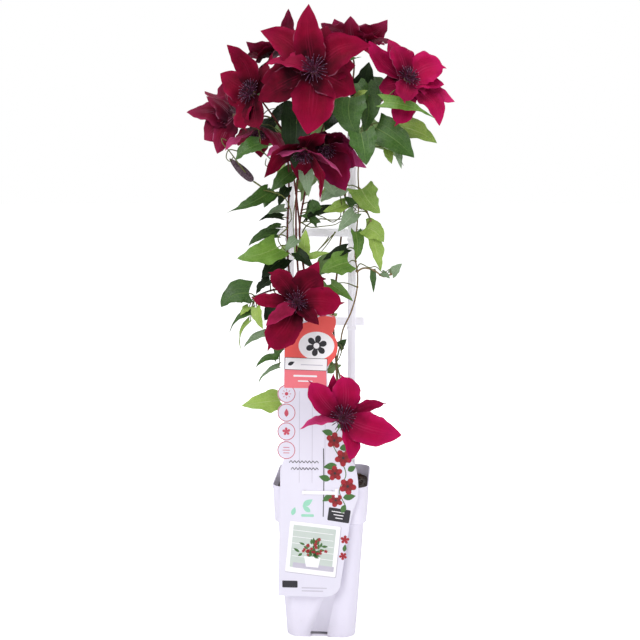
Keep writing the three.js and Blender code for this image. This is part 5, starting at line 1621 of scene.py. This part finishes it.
@dataclass
class PottingSoil:
    """Peat fill with crumbs and loose fibres on its top."""

    top: float = 158
    half: float = 50.4
    corner: float = 12
    squareness: float = 7
    rings: int = 22
    around: int = 72
    flank: Sequence[Flat] = ((140, 0.9), (131, 1.4), (127, 4.9), (6, 13.3))
    crumbs: int = 260
    fibres: int = 90

    def inside(self, x: float, y: float, margin: float) -> bool:
        """Tells whether a spot lies within the fill."""
        h = self.half - margin
        c = self.corner
        dx, dy = max(abs(x) - (h - c), 0), max(abs(y) - (h - c), 0)
        return hypot(dx, dy) <= c

    def level(self, x: float, y: float) -> float:
        """Returns the height of the uneven top at a spot."""
        v = Vector((x * 0.06, y * 0.06, 0.3))
        heap = 5.0 * exp(-(((x - 44) / 14) ** 2) - ((y - 6) / 34) ** 2)
        waves = ((2.6, 1), (1.3, 4.1), (0.5, 11))
        return self.top - 1.2 + heap + sum(high * noise.noise(v * fine) for high, fine in waves)

    def build(self) -> None:
        """Makes the fill."""
        rng = random.Random(41)
        book = MeshBook()
        rings, around, p = self.rings, self.around, self.squareness
        verts: List[Point] = [(0, 0, self.level(0, 0))]
        for r in range(1, rings + 1):
            for k in range(around):
                a = 2 * pi * k / around
                reach = self.half / (abs(cos(a)) ** p + abs(sin(a)) ** p) ** (1 / p)
                x, y = cos(a) * reach * r / rings, sin(a) * reach * r / rings
                verts.append((x, y, self.level(x, y)))
        for z, inset in self.flank:
            s = 1 - inset / self.half
            verts += [(x * s, y * s, z) for x, y, _ in verts[1 + (rings - 1) * around : 1 + rings * around]]
        faces: List[Face] = [(0, 1 + k, 1 + (k + 1) % around) for k in range(around)]
        for r in range(rings - 1 + len(self.flank)):
            for k in range(around):
                a, b = 1 + r * around + k, 1 + r * around + (k + 1) % around
                faces.append((a, a + around, b + around, b))
        faces.append(tuple(range(len(verts) - 1, len(verts) - 1 - around, -1)))
        book.add(np.array(verts), faces)
        self.add_crumbs(book, rng)
        self.add_fibres(book, rng)
        settle_piece(book.make("potting_soil", [PEAT, CRUMB, FIBRE], 60), "soil", "soil")

    def add_crumbs(self, book: MeshBook, rng: random.Random) -> None:
        """Scatters lumps of peat over the top."""
        bm = bmesh.new()
        bmesh.ops.create_icosphere(bm, subdivisions=2, radius=1)
        ball = np.array([v.co[:] for v in bm.verts])
        faces = [[v.index for v in f.verts] for f in bm.faces]
        bm.free()
        made = 0
        while made < self.crumbs:
            x, y = rng.uniform(-50, 50), rng.uniform(-50, 50)
            size = rng.uniform(0.7, 2.3) if made % 6 else rng.uniform(2.2, 3.4)
            if not self.inside(x, y, size + 0.6):
                continue
            shift = Vector((rng.uniform(-50, 50), rng.uniform(-50, 50), 0))
            lump = np.array([1 + 0.45 * noise.noise(Vector(v) * 1.3 + shift) for v in ball])[:, None]
            squash = np.array([rng.uniform(0.8, 1.3), rng.uniform(0.8, 1.3), rng.uniform(0.55, 0.9)])
            verts = ball * lump * squash * size + np.array([x, y, self.level(x, y) + size * 0.2])
            book.add(verts, faces, 1, None, rng.random())
            made += 1

    def add_fibres(self, book: MeshBook, rng: random.Random) -> None:
        """Scatters short bent fibres over the top."""
        made = 0
        while made < self.fibres:
            x, y, a = rng.uniform(-44, 44), rng.uniform(-44, 44), rng.uniform(0, pi)
            length = rng.uniform(5, 13)
            if not self.inside(x, y, length / 2 + 1):
                continue
            points = []
            for k in (-0.5, -0.15, 0.2, 0.5):
                b = a + rng.uniform(-0.25, 0.25)
                px, py = x + cos(b) * length * k, y + sin(b) * length * k
                points.append((px, py, self.level(px, py) + rng.uniform(0.5, 1.6)))
            add_tube(book, smooth_path(points, 4), lambda k: 0.28 - 0.1 * k, 5, 2, rng.random())
            made += 1


@dataclass
class LadderTrellis:
    """The white ladder: two uprights, four rungs and their bands."""

    uprights: Flat = (-38, 32)
    y: float = 15
    width: float = 9
    depth: float = 6
    foot: float = 124
    top: float = 560
    rungs: Sequence[float] = (245, 345, 445, 545)
    rung_height: float = 9
    rung_depth: float = 4
    overhang: float = 9.5
    band: Point = (11, 8, 4)
    rib: Flat = (2.2, 0.7)

    def bar(self, book: MeshBook, x: Flat, thick: float, z: Flat, bevel: float, shift: float = 0) -> None:
        """Adds one moulded bar.

        Args:
            book: The book that it goes into.
            x: Where it starts and ends across.
            thick: Its thickness from front to back.
            z: Where it starts and ends in height.
            bevel: Width of its rounded edges.
            shift: How far its middle lies behind the trellis's plane.
        """
        y = self.y + shift
        segments = 3 if bevel > 1 else 2
        add_soft_box(book, (x[0], y - thick / 2, z[0]), (x[1], y + thick / 2, z[1]), bevel, 0, segments)

    def build(self) -> None:
        """Makes the trellis."""
        book = MeshBook()
        for x in self.uprights:
            self.bar(book, spread(x, self.width), self.depth, (self.foot, self.top), 1.4)
            wide, thick = self.rib
            for side in (-self.depth / 2, self.depth / 2):
                self.bar(book, spread(x, wide), thick, (self.foot + 34, self.top - 6), 0.3, side)
        out = self.width / 2 + self.overhang
        for z in self.rungs:
            rung = spread(z, self.rung_height)
            self.bar(book, (self.uprights[0] - out, self.uprights[1] + out), self.rung_depth, rung, 1.3)
            wide, thick, tall = self.band
            for x in self.uprights:
                self.bar(book, spread(x, wide), thick, (rung[0] - 1 - tall, rung[0] - 1), 0.7)
        settle_piece(book.make("ladder_trellis", [TRELLIS_PLASTIC], 32), "trellis", "trellis")


# ---- plant label ----


CLIP_X, CLIP_Z = (-16, 14), 165.5  # where the strap goes through the card


class Ink(Enum):
    """Inks of the label's plain print."""

    CORAL = printed("ink_coral", 0xF4625E, 0xEE5854)
    CORAL_LOW = printed("ink_coral_low", 0xF47E8A, 0xEE7480)
    ROSE = printed("ink_rose", 0xCC5468, 0xBC4458)
    WHITE = printed("ink_white", 0xFCFAFC, 0xF4F1F7)
    RED = printed("ink_red", 0xB01E2C, 0x8E1422)
    RUST = printed("ink_rust", 0x8C1A20, 0x701018)
    LEAF = printed("ink_leaf", 0x4C7A3C, 0x38602C)
    DARK = printed("ink_dark", 0x2C2A30, 0x222026)
    MINT = printed("ink_mint", 0xA4DCC4, 0x90CDB4)
    GREY = printed("ink_grey", 0xC9C4D2, 0xBBB6C6)
    PALE = printed("ink_pale", 0xCDD6D0, 0xBFC9C3)


class Icon(Enum):
    """The small marks on the label's round tabs."""

    SUN = "sun"
    DROP = "drop"
    FLOWER = "flower"
    BARS = "bars"

    def loops(self, x: float, z: float) -> List[List[Flat]]:
        """Returns the loops of the mark round a point."""
        if self is Icon.SUN:
            turns = [k * pi / 4 for k in range(8)]
            rays = [placed(rounded(1.8, 0.6, 0.25, 4), 4.2 * cos(a), 4.2 * sin(a), a) for a in turns]
            return [circle(x, z, 1.9, 20), *(placed(ray, x, z) for ray in rays)]
        if self is Icon.DROP:
            return [leaf_mark(x, z - 4.5, 9, 4.6, 90)]
        if self is Icon.FLOWER:
            return [flower_mark(x, z, 4.4, 5, 0.4)]
        return [slab(x, z - 3 + 3 * k, 8 - 1.2 * abs(k - 1), 0.7, 0, 0.3) for k in range(3)]


def placed(loop: Sequence[Flat], x: float, z: float, turn: float = 0) -> List[Flat]:
    """Returns a loop turned by an angle and moved."""
    c, s = cos(turn), sin(turn)
    return [(x + u * c - v * s, z + u * s + v * c) for u, v in loop]


def circle(x: float, z: float, r: float, n: int = 40, squash: float = 1.0) -> List[Flat]:
    """Returns a circle of n sides or a flat oval as a loop."""
    turns = [2 * pi * i / n for i in range(n)]
    return [(x + r * cos(a), z + r * squash * sin(a)) for a in turns]


def slab(x: float, z: float, w: float, h: float, turn: float = 0, r: float = 1.5) -> List[Flat]:
    """Returns a rectangle w by h with corners of radius r, turned by some degrees."""
    return placed(rounded(w, h, r, 4), x, z, radians(turn))


def flower_mark(x: float, z: float, r: float, petals: int, turn: float = 0) -> List[Flat]:
    """Returns the outline of a plain round flower of radius r, turned by an angle."""
    out = []
    for i in range(petals * 10):
        a = 2 * pi * i / (petals * 10)
        reach = r * (0.36 + 0.64 * abs(cos(petals * a / 2)) ** 0.55)
        out.append((x + reach * cos(a + turn), z + reach * sin(a + turn)))
    return out


def leaf_mark(x: float, z: float, length: float, width: float, turn: float) -> List[Flat]:
    """Returns the outline of a plain leaf that starts at a point, turned by some degrees."""
    half = [(t * length, width / 2 * sin(pi * t**0.8)) for t in np.linspace(0, 1, 10)]
    return placed(half + [(u, -v) for u, v in half[-2:0:-1]], x, z, radians(turn))


def stroke(points: Sequence[Flat], width: float) -> List[Flat]:
    """Returns a line of some width along points, as a loop."""
    path = smooth_path([(x, 0, z) for x, z in points], 8)
    way = unit(np.gradient(path, axis=0))
    side = np.stack([-way[:, 2], way[:, 0]], 1) * width / 2
    flat = path[:, [0, 2]]
    return [tuple(p) for p in flat + side] + [tuple(p) for p in (flat - side)[::-1]]


@dataclass
class PlantLabel:
    """The bent plastic card in front of the pot, with plain generic print."""

    thickness: float = 0.9
    lean: Sequence[Flat] = (
        (-51, 40), (-51.6, 60), (-55, 132), (-56.5, 170), (-51, 240), (-40, 355), (-39.4, 362)
    )
    slot: Flat = (1.8, 5.4)
    tab_x: float = -36.3
    tab_radius: float = 10
    tabs: Sequence[Tuple[Icon, float]] = (
        (Icon.SUN, 273), (Icon.DROP, 252.5), (Icon.FLOWER, 232), (Icon.BARS, 211.5)
    )
    strip: float = 6

    def depth_at(self, z: "float | Array") -> Array:
        """Returns y of the card's middle at a height."""
        ys, zs = zip(*self.lean)
        return np.interp(z, zs, ys)

    def outline(self) -> List[Flat]:
        """Returns the card's outline, seen from the front."""
        out: List[Flat] = [(-46, 45), (5, 45)]

        def bend(c: Flat, e: Flat) -> None:
            """Goes on to e, pulled towards c."""
            s = out[-1]
            for t in (i / 8 for i in range(1, 9)):
                out.append(tuple((1 - t) ** 2 * s[k] + 2 * t * (1 - t) * c[k] + t * t * e[k] for k in (0, 1)))

        def arc(x: float, z: float, r: float, a: float, b: float) -> None:
            """Goes round a centre from angle a to b."""
            turns = (a + (b - a) * i / 16 for i in range(17))
            out.extend((x + r * cos(turn), z + r * sin(turn)) for turn in turns)

        bend((20, 46), (23, 58))
        out.append((33, 128))
        bend((36, 144), (42, 158))
        bend((44, 176), (40, 192))
        bend((28, 216), (24, 240))
        bend((16, 262), (9, 274))
        out.append((8, 300))
        arc(-3, 324, 22, -0.9, 0.75)
        bend((20, 352), (15, 358))
        bend((2, 362), (-10, 354))
        bend((-28, 350), (-39, 336))
        out.append((-39.5, 284))
        for _, z in self.tabs:
            arc(self.tab_x, z, self.tab_radius, 1.85, 2 * pi - 1.85)
        out.extend([(-43, 190), (-43, 172), (-46, 64)])
        return out

    def lay(self, book: MeshBook, loops: List[Sequence[Flat]], front: float, back: float, slot: int) -> None:
        """Lays a flat shape on the bent card.

        Args:
            book: The book that it goes into.
            loops: Its outline, then its holes.
            front: How far its front lies before the card's middle.
            back: How far its back lies before the card's middle.
            slot: Material slot.
        """
        flat = [Vector((x, z, 0)) for loop in loops for x, z in loop]
        triangles = tessellate_polygon([[Vector((x, z, 0)) for x, z in loop] for loop in loops])
        bm = bmesh.new()
        verts = [bm.verts.new((v.x, 0, v.y)) for v in flat]
        for tri in triangles:
            if len(set(tri)) == 3:
                bm.faces.new([verts[i] for i in tri])
        low, high = min(v.y for v in flat), max(v.y for v in flat)
        z = ceil(low / self.strip) * self.strip
        while z < high:
            if z > low + 0.2:
                whole = [*bm.verts, *bm.edges, *bm.faces]
                bmesh.ops.bisect_plane(bm, geom=whole, plane_co=(0, 0, z), plane_no=UP, dist=1e-4)
            z += self.strip
        bmesh.ops.recalc_face_normals(bm, faces=bm.faces)
        if sum(f.normal.y * f.calc_area() for f in bm.faces) > 0:
            bmesh.ops.reverse_faces(bm, faces=bm.faces)
        grown = bmesh.ops.extrude_face_region(bm, geom=list(bm.faces), use_keep_orig=True)
        new = {v for v in grown["geom"] if isinstance(v, bmesh.types.BMVert)}
        bm.verts.index_update()
        middle = self.depth_at(np.array([v.co.z for v in bm.verts]))
        for v, y in zip(bm.verts, middle):
            v.co.y = y - (back if v in new else front)
        bmesh.ops.recalc_face_normals(bm, faces=bm.faces)
        bm.verts.index_update()
        book.add(np.array([v.co[:] for v in bm.verts]), [[v.index for v in f.verts] for f in bm.faces], slot)
        bm.free()

    def build(self) -> None:
        """Makes the card and its print."""
        book = MeshBook()
        w, h = self.slot
        low, high = spread(CLIP_Z, h)
        sides = [spread(x, w) for x in CLIP_X]
        holes = [[(left, low), (right, low), (right, high), (left, high)] for left, right in sides]
        self.lay(book, [self.outline(), *holes], self.thickness / 2, -self.thickness / 2, 0)
        settle_piece(book.make("plant_label", [CARD], 40), "label", "label")
        self.build_print()

    def build_print(self) -> None:
        """Makes the print: plain shapes in the usual colours of such a card."""
        inks = list(Ink)
        book = MeshBook()
        level = self.thickness / 2

        def put(ink: Ink, loop: Sequence[Flat], layer: int = 1, *holes: Sequence[Flat]) -> None:
            """Prints one shape, on a layer above those below it."""
            self.lay(book, [loop, *holes], level + 0.05 + 0.05 * layer, level + 0.02, inks.index(ink))

        edge = [p for p in self.outline() if p[1] > 301 and p[0] > 6.8]
        crown = [(15, 356.4), (2, 358.5), (-10, 352.4), (-26, 347.5), (-38.6, 334.5)]
        put(Ink.CORAL, [(-38.6, 296), (6.8, 296), (6.6, 301), *edge, *crown], 1)
        put(Ink.CORAL_LOW, [(-38.8, 279.5), (7.3, 279.5), (6.8, 299), (-38.6, 299)], 2)
        put(Ink.WHITE, circle(-4, 325.5, 19.5, 48, 0.78), 2)
        put(Ink.DARK, flower_mark(-4, 325.5, 11.5, 6, 0.3), 3)
        put(Ink.WHITE, circle(-4, 325.5, 3.2, 20), 4)
        put(Ink.DARK, slab(-15.3, 305.5, 46.6, 13.4, -1.5, 0.8), 3)
        put(Ink.WHITE, slab(-15.3, 305.5, 45.6, 12.4, -1.5, 0.6), 4)
        put(Ink.DARK, leaf_mark(-35, 304.5, 8, 4, 25), 5)
        put(Ink.GREY, slab(-9, 304.6, 24, 0.8, -1.5, 0.3), 5)
        for z, wide, tall in ((292.6, 26, 2.0), (287, 16, 1.3)):
            put(Ink.WHITE, slab(-16, z, wide, tall, -1, tall / 2.1), 3)
        for icon, z in self.tabs:
            outer, inner = (circle(self.tab_x, z, self.tab_radius - rim) for rim in (0.3, 1.05))
            put(Ink.ROSE, outer, 1, inner[::-1])
            for loop in icon.loops(self.tab_x, z):
                put(Ink.ROSE, loop)
        self.print_garland(put)
        self.print_scene(put)
        settle_piece(book.make("label_print", [tint.value for tint in inks], 60), "label")

    def print_garland(self, put: Callable[..., None]) -> None:
        """Prints the planks and a trailing garland of round flowers.

        Args:
            put: Prints one shape.
        """
        for x, low, high in ((-22, 176, 276), (-8, 176, 278), (6, 176, 270)):
            put(Ink.GREY, slab(x, (low + high) / 2, 0.5, high - low, 0, 0.2), 1)
        put(Ink.DARK, stroke(((4.2, 138), (4.9, 175), (4.4, 214)), 0.9), 2)
        for z, start, wide in ((199, -33, 32), (191.5, -31, 30)):
            wave = [(start + wide * k / 16, z + (1.1 if k % 2 else -1.1)) for k in range(17)]
            put(Ink.DARK, stroke(wave, 0.7), 2)
        put(Ink.LEAF, stroke(((22, 238), (14, 222), (22, 204), (29, 186), (22, 168), (29, 150)), 0.9), 2)
        for leaf in (
            (15, 230, 13, 7, 165), (22, 214, 14, 7.5, 15), (19, 196, 15, 7.5, 190), (31, 190, 10, 6.5, 30),
            (12, 180, 13, 7, 165), (26, 160, 14, 7.5, 10), (14, 163, 13, 7, 215), (28, 152, 11, 6, 250),
            (20, 236, 8, 5, 60),
        ):
            put(Ink.LEAF, leaf_mark(*leaf), 3)
        for x, z, r, turn in (
            (16, 223, 9, 0.2), (26, 204, 9.5, 0.9), (17, 187, 8.5, 0.4), (31, 173, 9.5, 1.1),
            (18, 157, 8, 0.7),
        ):
            put(Ink.RED, flower_mark(x, z, r, 5, turn), 4)
            put(Ink.RUST, flower_mark(x, z, r * 0.66, 5, turn + 0.63), 5)
            put(Ink.DARK, circle(x, z, r * 0.16, 14), 6)
        for x, z, size, turn in ((-18, 150, 13, 35), (-10, 143, 11, 140), (-30, 139, 10, 70)):
            put(Ink.MINT, leaf_mark(x, z, size, size * 0.5, turn), 2)
        put(Ink.MINT, slab(-13, 139, 14, 3, 0, 1.2), 2)

    def print_scene(self, put: Callable[..., None]) -> None:
        """Prints a plain framed garden view and two small panels.

        Args:
            put: Prints one shape.
        """
        put(Ink.DARK, slab(21.5, 140, 24, 15, -8, 1.2), 2)
        for k in range(3):
            put(Ink.WHITE, slab(20.5 + k * 0.5, 143.6 - k * 3.6, 14 - 3 * k, 0.9, -8, 0.3), 3)
        put(Ink.GREY, slab(-7, 100, 57, 60, -6, 1.6), 2)
        put(Ink.WHITE, slab(-7.4, 100.4, 56, 59, -6, 1.4), 3)
        put(Ink.PALE, slab(-7.4, 101.5, 47, 49, -6, 0.8), 4)
        for k in range(5):
            put(Ink.WHITE, slab(-7.4, 90 + k * 7.5, 46, 0.5, -6, 0.2), 5)
        put(Ink.GREY, slab(-7.0, 79.5, 45.5, 6, -6, 0.6), 5)
        put(Ink.WHITE, [(-17, 92), (1, 90.5), (-1.5, 79), (-15, 80)], 6)
        rng = random.Random(31)
        for _ in range(34):
            a, r = rng.uniform(0.15, pi - 0.15), rng.uniform(0, 15)
            x, z = -8 + r * cos(a), 92 + 1.3 * r * sin(a)
            size, turn = (rng.uniform(5, 8), rng.uniform(2.2, 3.2)), degrees(a) + rng.uniform(-50, 50)
            put(Ink.LEAF, leaf_mark(x, z, *size, turn), 7)
        for _ in range(17):
            a, r = rng.uniform(0.1, pi - 0.1), rng.uniform(3, 16)
            x, z = -8 + r * cos(a), 93 + 1.35 * r * sin(a)
            put(Ink.RED, flower_mark(x, z, rng.uniform(1.5, 2.4), 5, a), 8)
        put(Ink.RED, flower_mark(28, 112, 5.0, 5, 0.2), 3)
        put(Ink.RED, flower_mark(26, 93, 4.5, 5, 0.8), 3)
        put(Ink.LEAF, leaf_mark(27, 98, 9, 4.4, 80), 2)
        put(Ink.DARK, slab(-33, 59, 17, 8, 0, 0.8), 2)
        for x, z, wide in ((-6, 55, 28), (-8, 51.5, 24)):
            put(Ink.GREY, slab(x, z, wide, 1.2, 0, 0.5), 2)


@dataclass
class LabelClip:
    """The slim strap that ties the label to the pot's rim."""

    strap: float = 4.2
    wide: float = 5
    thick: float = 1
    front: float = -58.1
    behind: float = -54.6
    inner: float = -51.3
    rim_top: float = 170

    def build(self) -> None:
        """Makes the strap."""
        book = MeshBook()
        low, high = spread(CLIP_Z, self.strap)
        top = self.rim_top + 0.3
        roof, face = top + self.thick, self.front + self.thick
        add_soft_box(book, (-19, self.front, low), (19, face, high), 0.35)
        add_soft_box(book, (17, self.front - 0.2, CLIP_Z - 5), (20.5, face, CLIP_Z + 5), 0.4)
        back = self.behind + self.thick
        for x in CLIP_X:
            left, right = spread(x, self.wide)
            add_soft_box(book, (x - 0.5, self.front + 0.8, low), (x + 0.5, back, high), 0.2)
            for near, far, foot in (
                (self.behind, back, low), (self.behind, self.inner + 0.8, top),
                (self.inner, self.inner + self.thick, self.rim_top - 7),
            ):
                add_soft_box(book, (left, near, foot), (right, far, roof), 0.35)
        settle_piece(book.make("label_strap", [STRAP], 40), "clip", "label_clip")


# ---- studio ----


@dataclass
class Studio:
    """Plain pale floor, soft lights and the camera."""

    eye: Point = (83.2, -1297.1, 527.5)
    target: Point = (-3, 0, 355.5)
    lens: float = 65.87
    ambient: float = 0.48
    lift: float = 0.71
    floor: int = 0xF6F6F8
    floor_radius: float = 15000
    floor_gap: float = 0.4
    lamps: Sequence[Tuple[str, Point, float, float]] = (
        ("key", (-0.9, -1.5, 1.6), 1.0, 21), ("fill", (1.5, -1.4, 0.7), 1.4, 10),
        ("back", (0.5, 1.6, 1.5), 1.2, 12), ("top", (-0.1, -0.3, 2.2), 0.8, 13),
    )

    @staticmethod
    def aim(name: str, data: bpy.types.ID, at: Vector, target: Vector) -> Object:
        """Sets up a camera or a lamp that looks at a point.

        Args:
            name: Its name.
            data: The camera or the light.
            at: Where it stands, in metres.
            target: The point that it looks at.

        Returns:
            The new object.
        """
        obj = bpy.data.objects.new(name, data)
        obj.location = at
        obj.rotation_euler = (target - at).to_track_quat("-Z", "Y").to_euler()
        bpy.context.scene.collection.objects.link(obj)
        return obj

    @staticmethod
    def seen(g: Graph) -> Wire:
        """Returns 1 where the camera looks straight at the surface."""
        return Wire(g, g.add("ShaderNodeLightPath").outputs["Is Camera Ray"])

    def build(self) -> None:
        """Makes the camera, the lights, the world and the floor."""
        scene = bpy.context.scene
        camera = bpy.data.cameras.new("camera")
        camera.lens, camera.sensor_width, camera.clip_end = self.lens, 36, 60
        scene.camera = self.aim("camera", camera, Vector(self.eye) * MM, Vector(self.target) * MM)
        scene.view_settings.view_transform = "Standard"
        for name, at, size, power in self.lamps:
            light = bpy.data.lights.new(name, "AREA")
            light.energy, light.size = power, size
            self.aim(name, light, Vector(at), Vector((0, 0, 0.4)))
        world = bpy.data.worlds.new("studio")
        scene.world = world
        world.use_nodes = True
        g = Graph(world.node_tree)
        sky = world.node_tree.nodes["Background"]
        g.feed(sky.inputs["Color"], (1, 1, 1))
        g.feed(sky.inputs["Strength"], self.seen(g) * (1 - self.ambient) + self.ambient)
        self.build_floor()

    def build_floor(self) -> None:
        """Makes the round floor, a little brighter to the camera than its light makes it."""
        colours = hexes(Body=self.floor, Deep=self.floor)
        finish = Finish("studio_floor", ink, (*colours, ("Gloss", 0.7)), 0.0)
        material = finish.material()
        g = Graph(material.node_tree)
        shader = shader_of(material)
        g.feed(shader.inputs["Emission Color"], (1, 1, 1))
        g.feed(shader.inputs["Emission Strength"], self.seen(g) * self.lift)
        book = MeshBook()
        rim = [(x, y, -self.floor_gap - BELOW) for x, y in circle(0, 0, self.floor_radius, 96)]
        book.add(np.array(rim), [tuple(range(len(rim)))])
        book.make("studio_floor", [finish])


def main() -> None:
    """Builds the whole plant in order."""
    logging.basicConfig(level=logging.INFO, format="%(name)s: %(message)s")
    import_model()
    for part in (Studio, NurseryPot, PottingSoil, LadderTrellis, PlantLabel, LabelClip, Bud):
        part().build()
    blooms = {bloom.key: bloom for bloom in BLOOMS}
    for bloom in BLOOMS:
        bloom.build()
    for stem in STEMS:
        stem.build(blooms)
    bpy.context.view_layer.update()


if __name__ == "__main__":
    main()
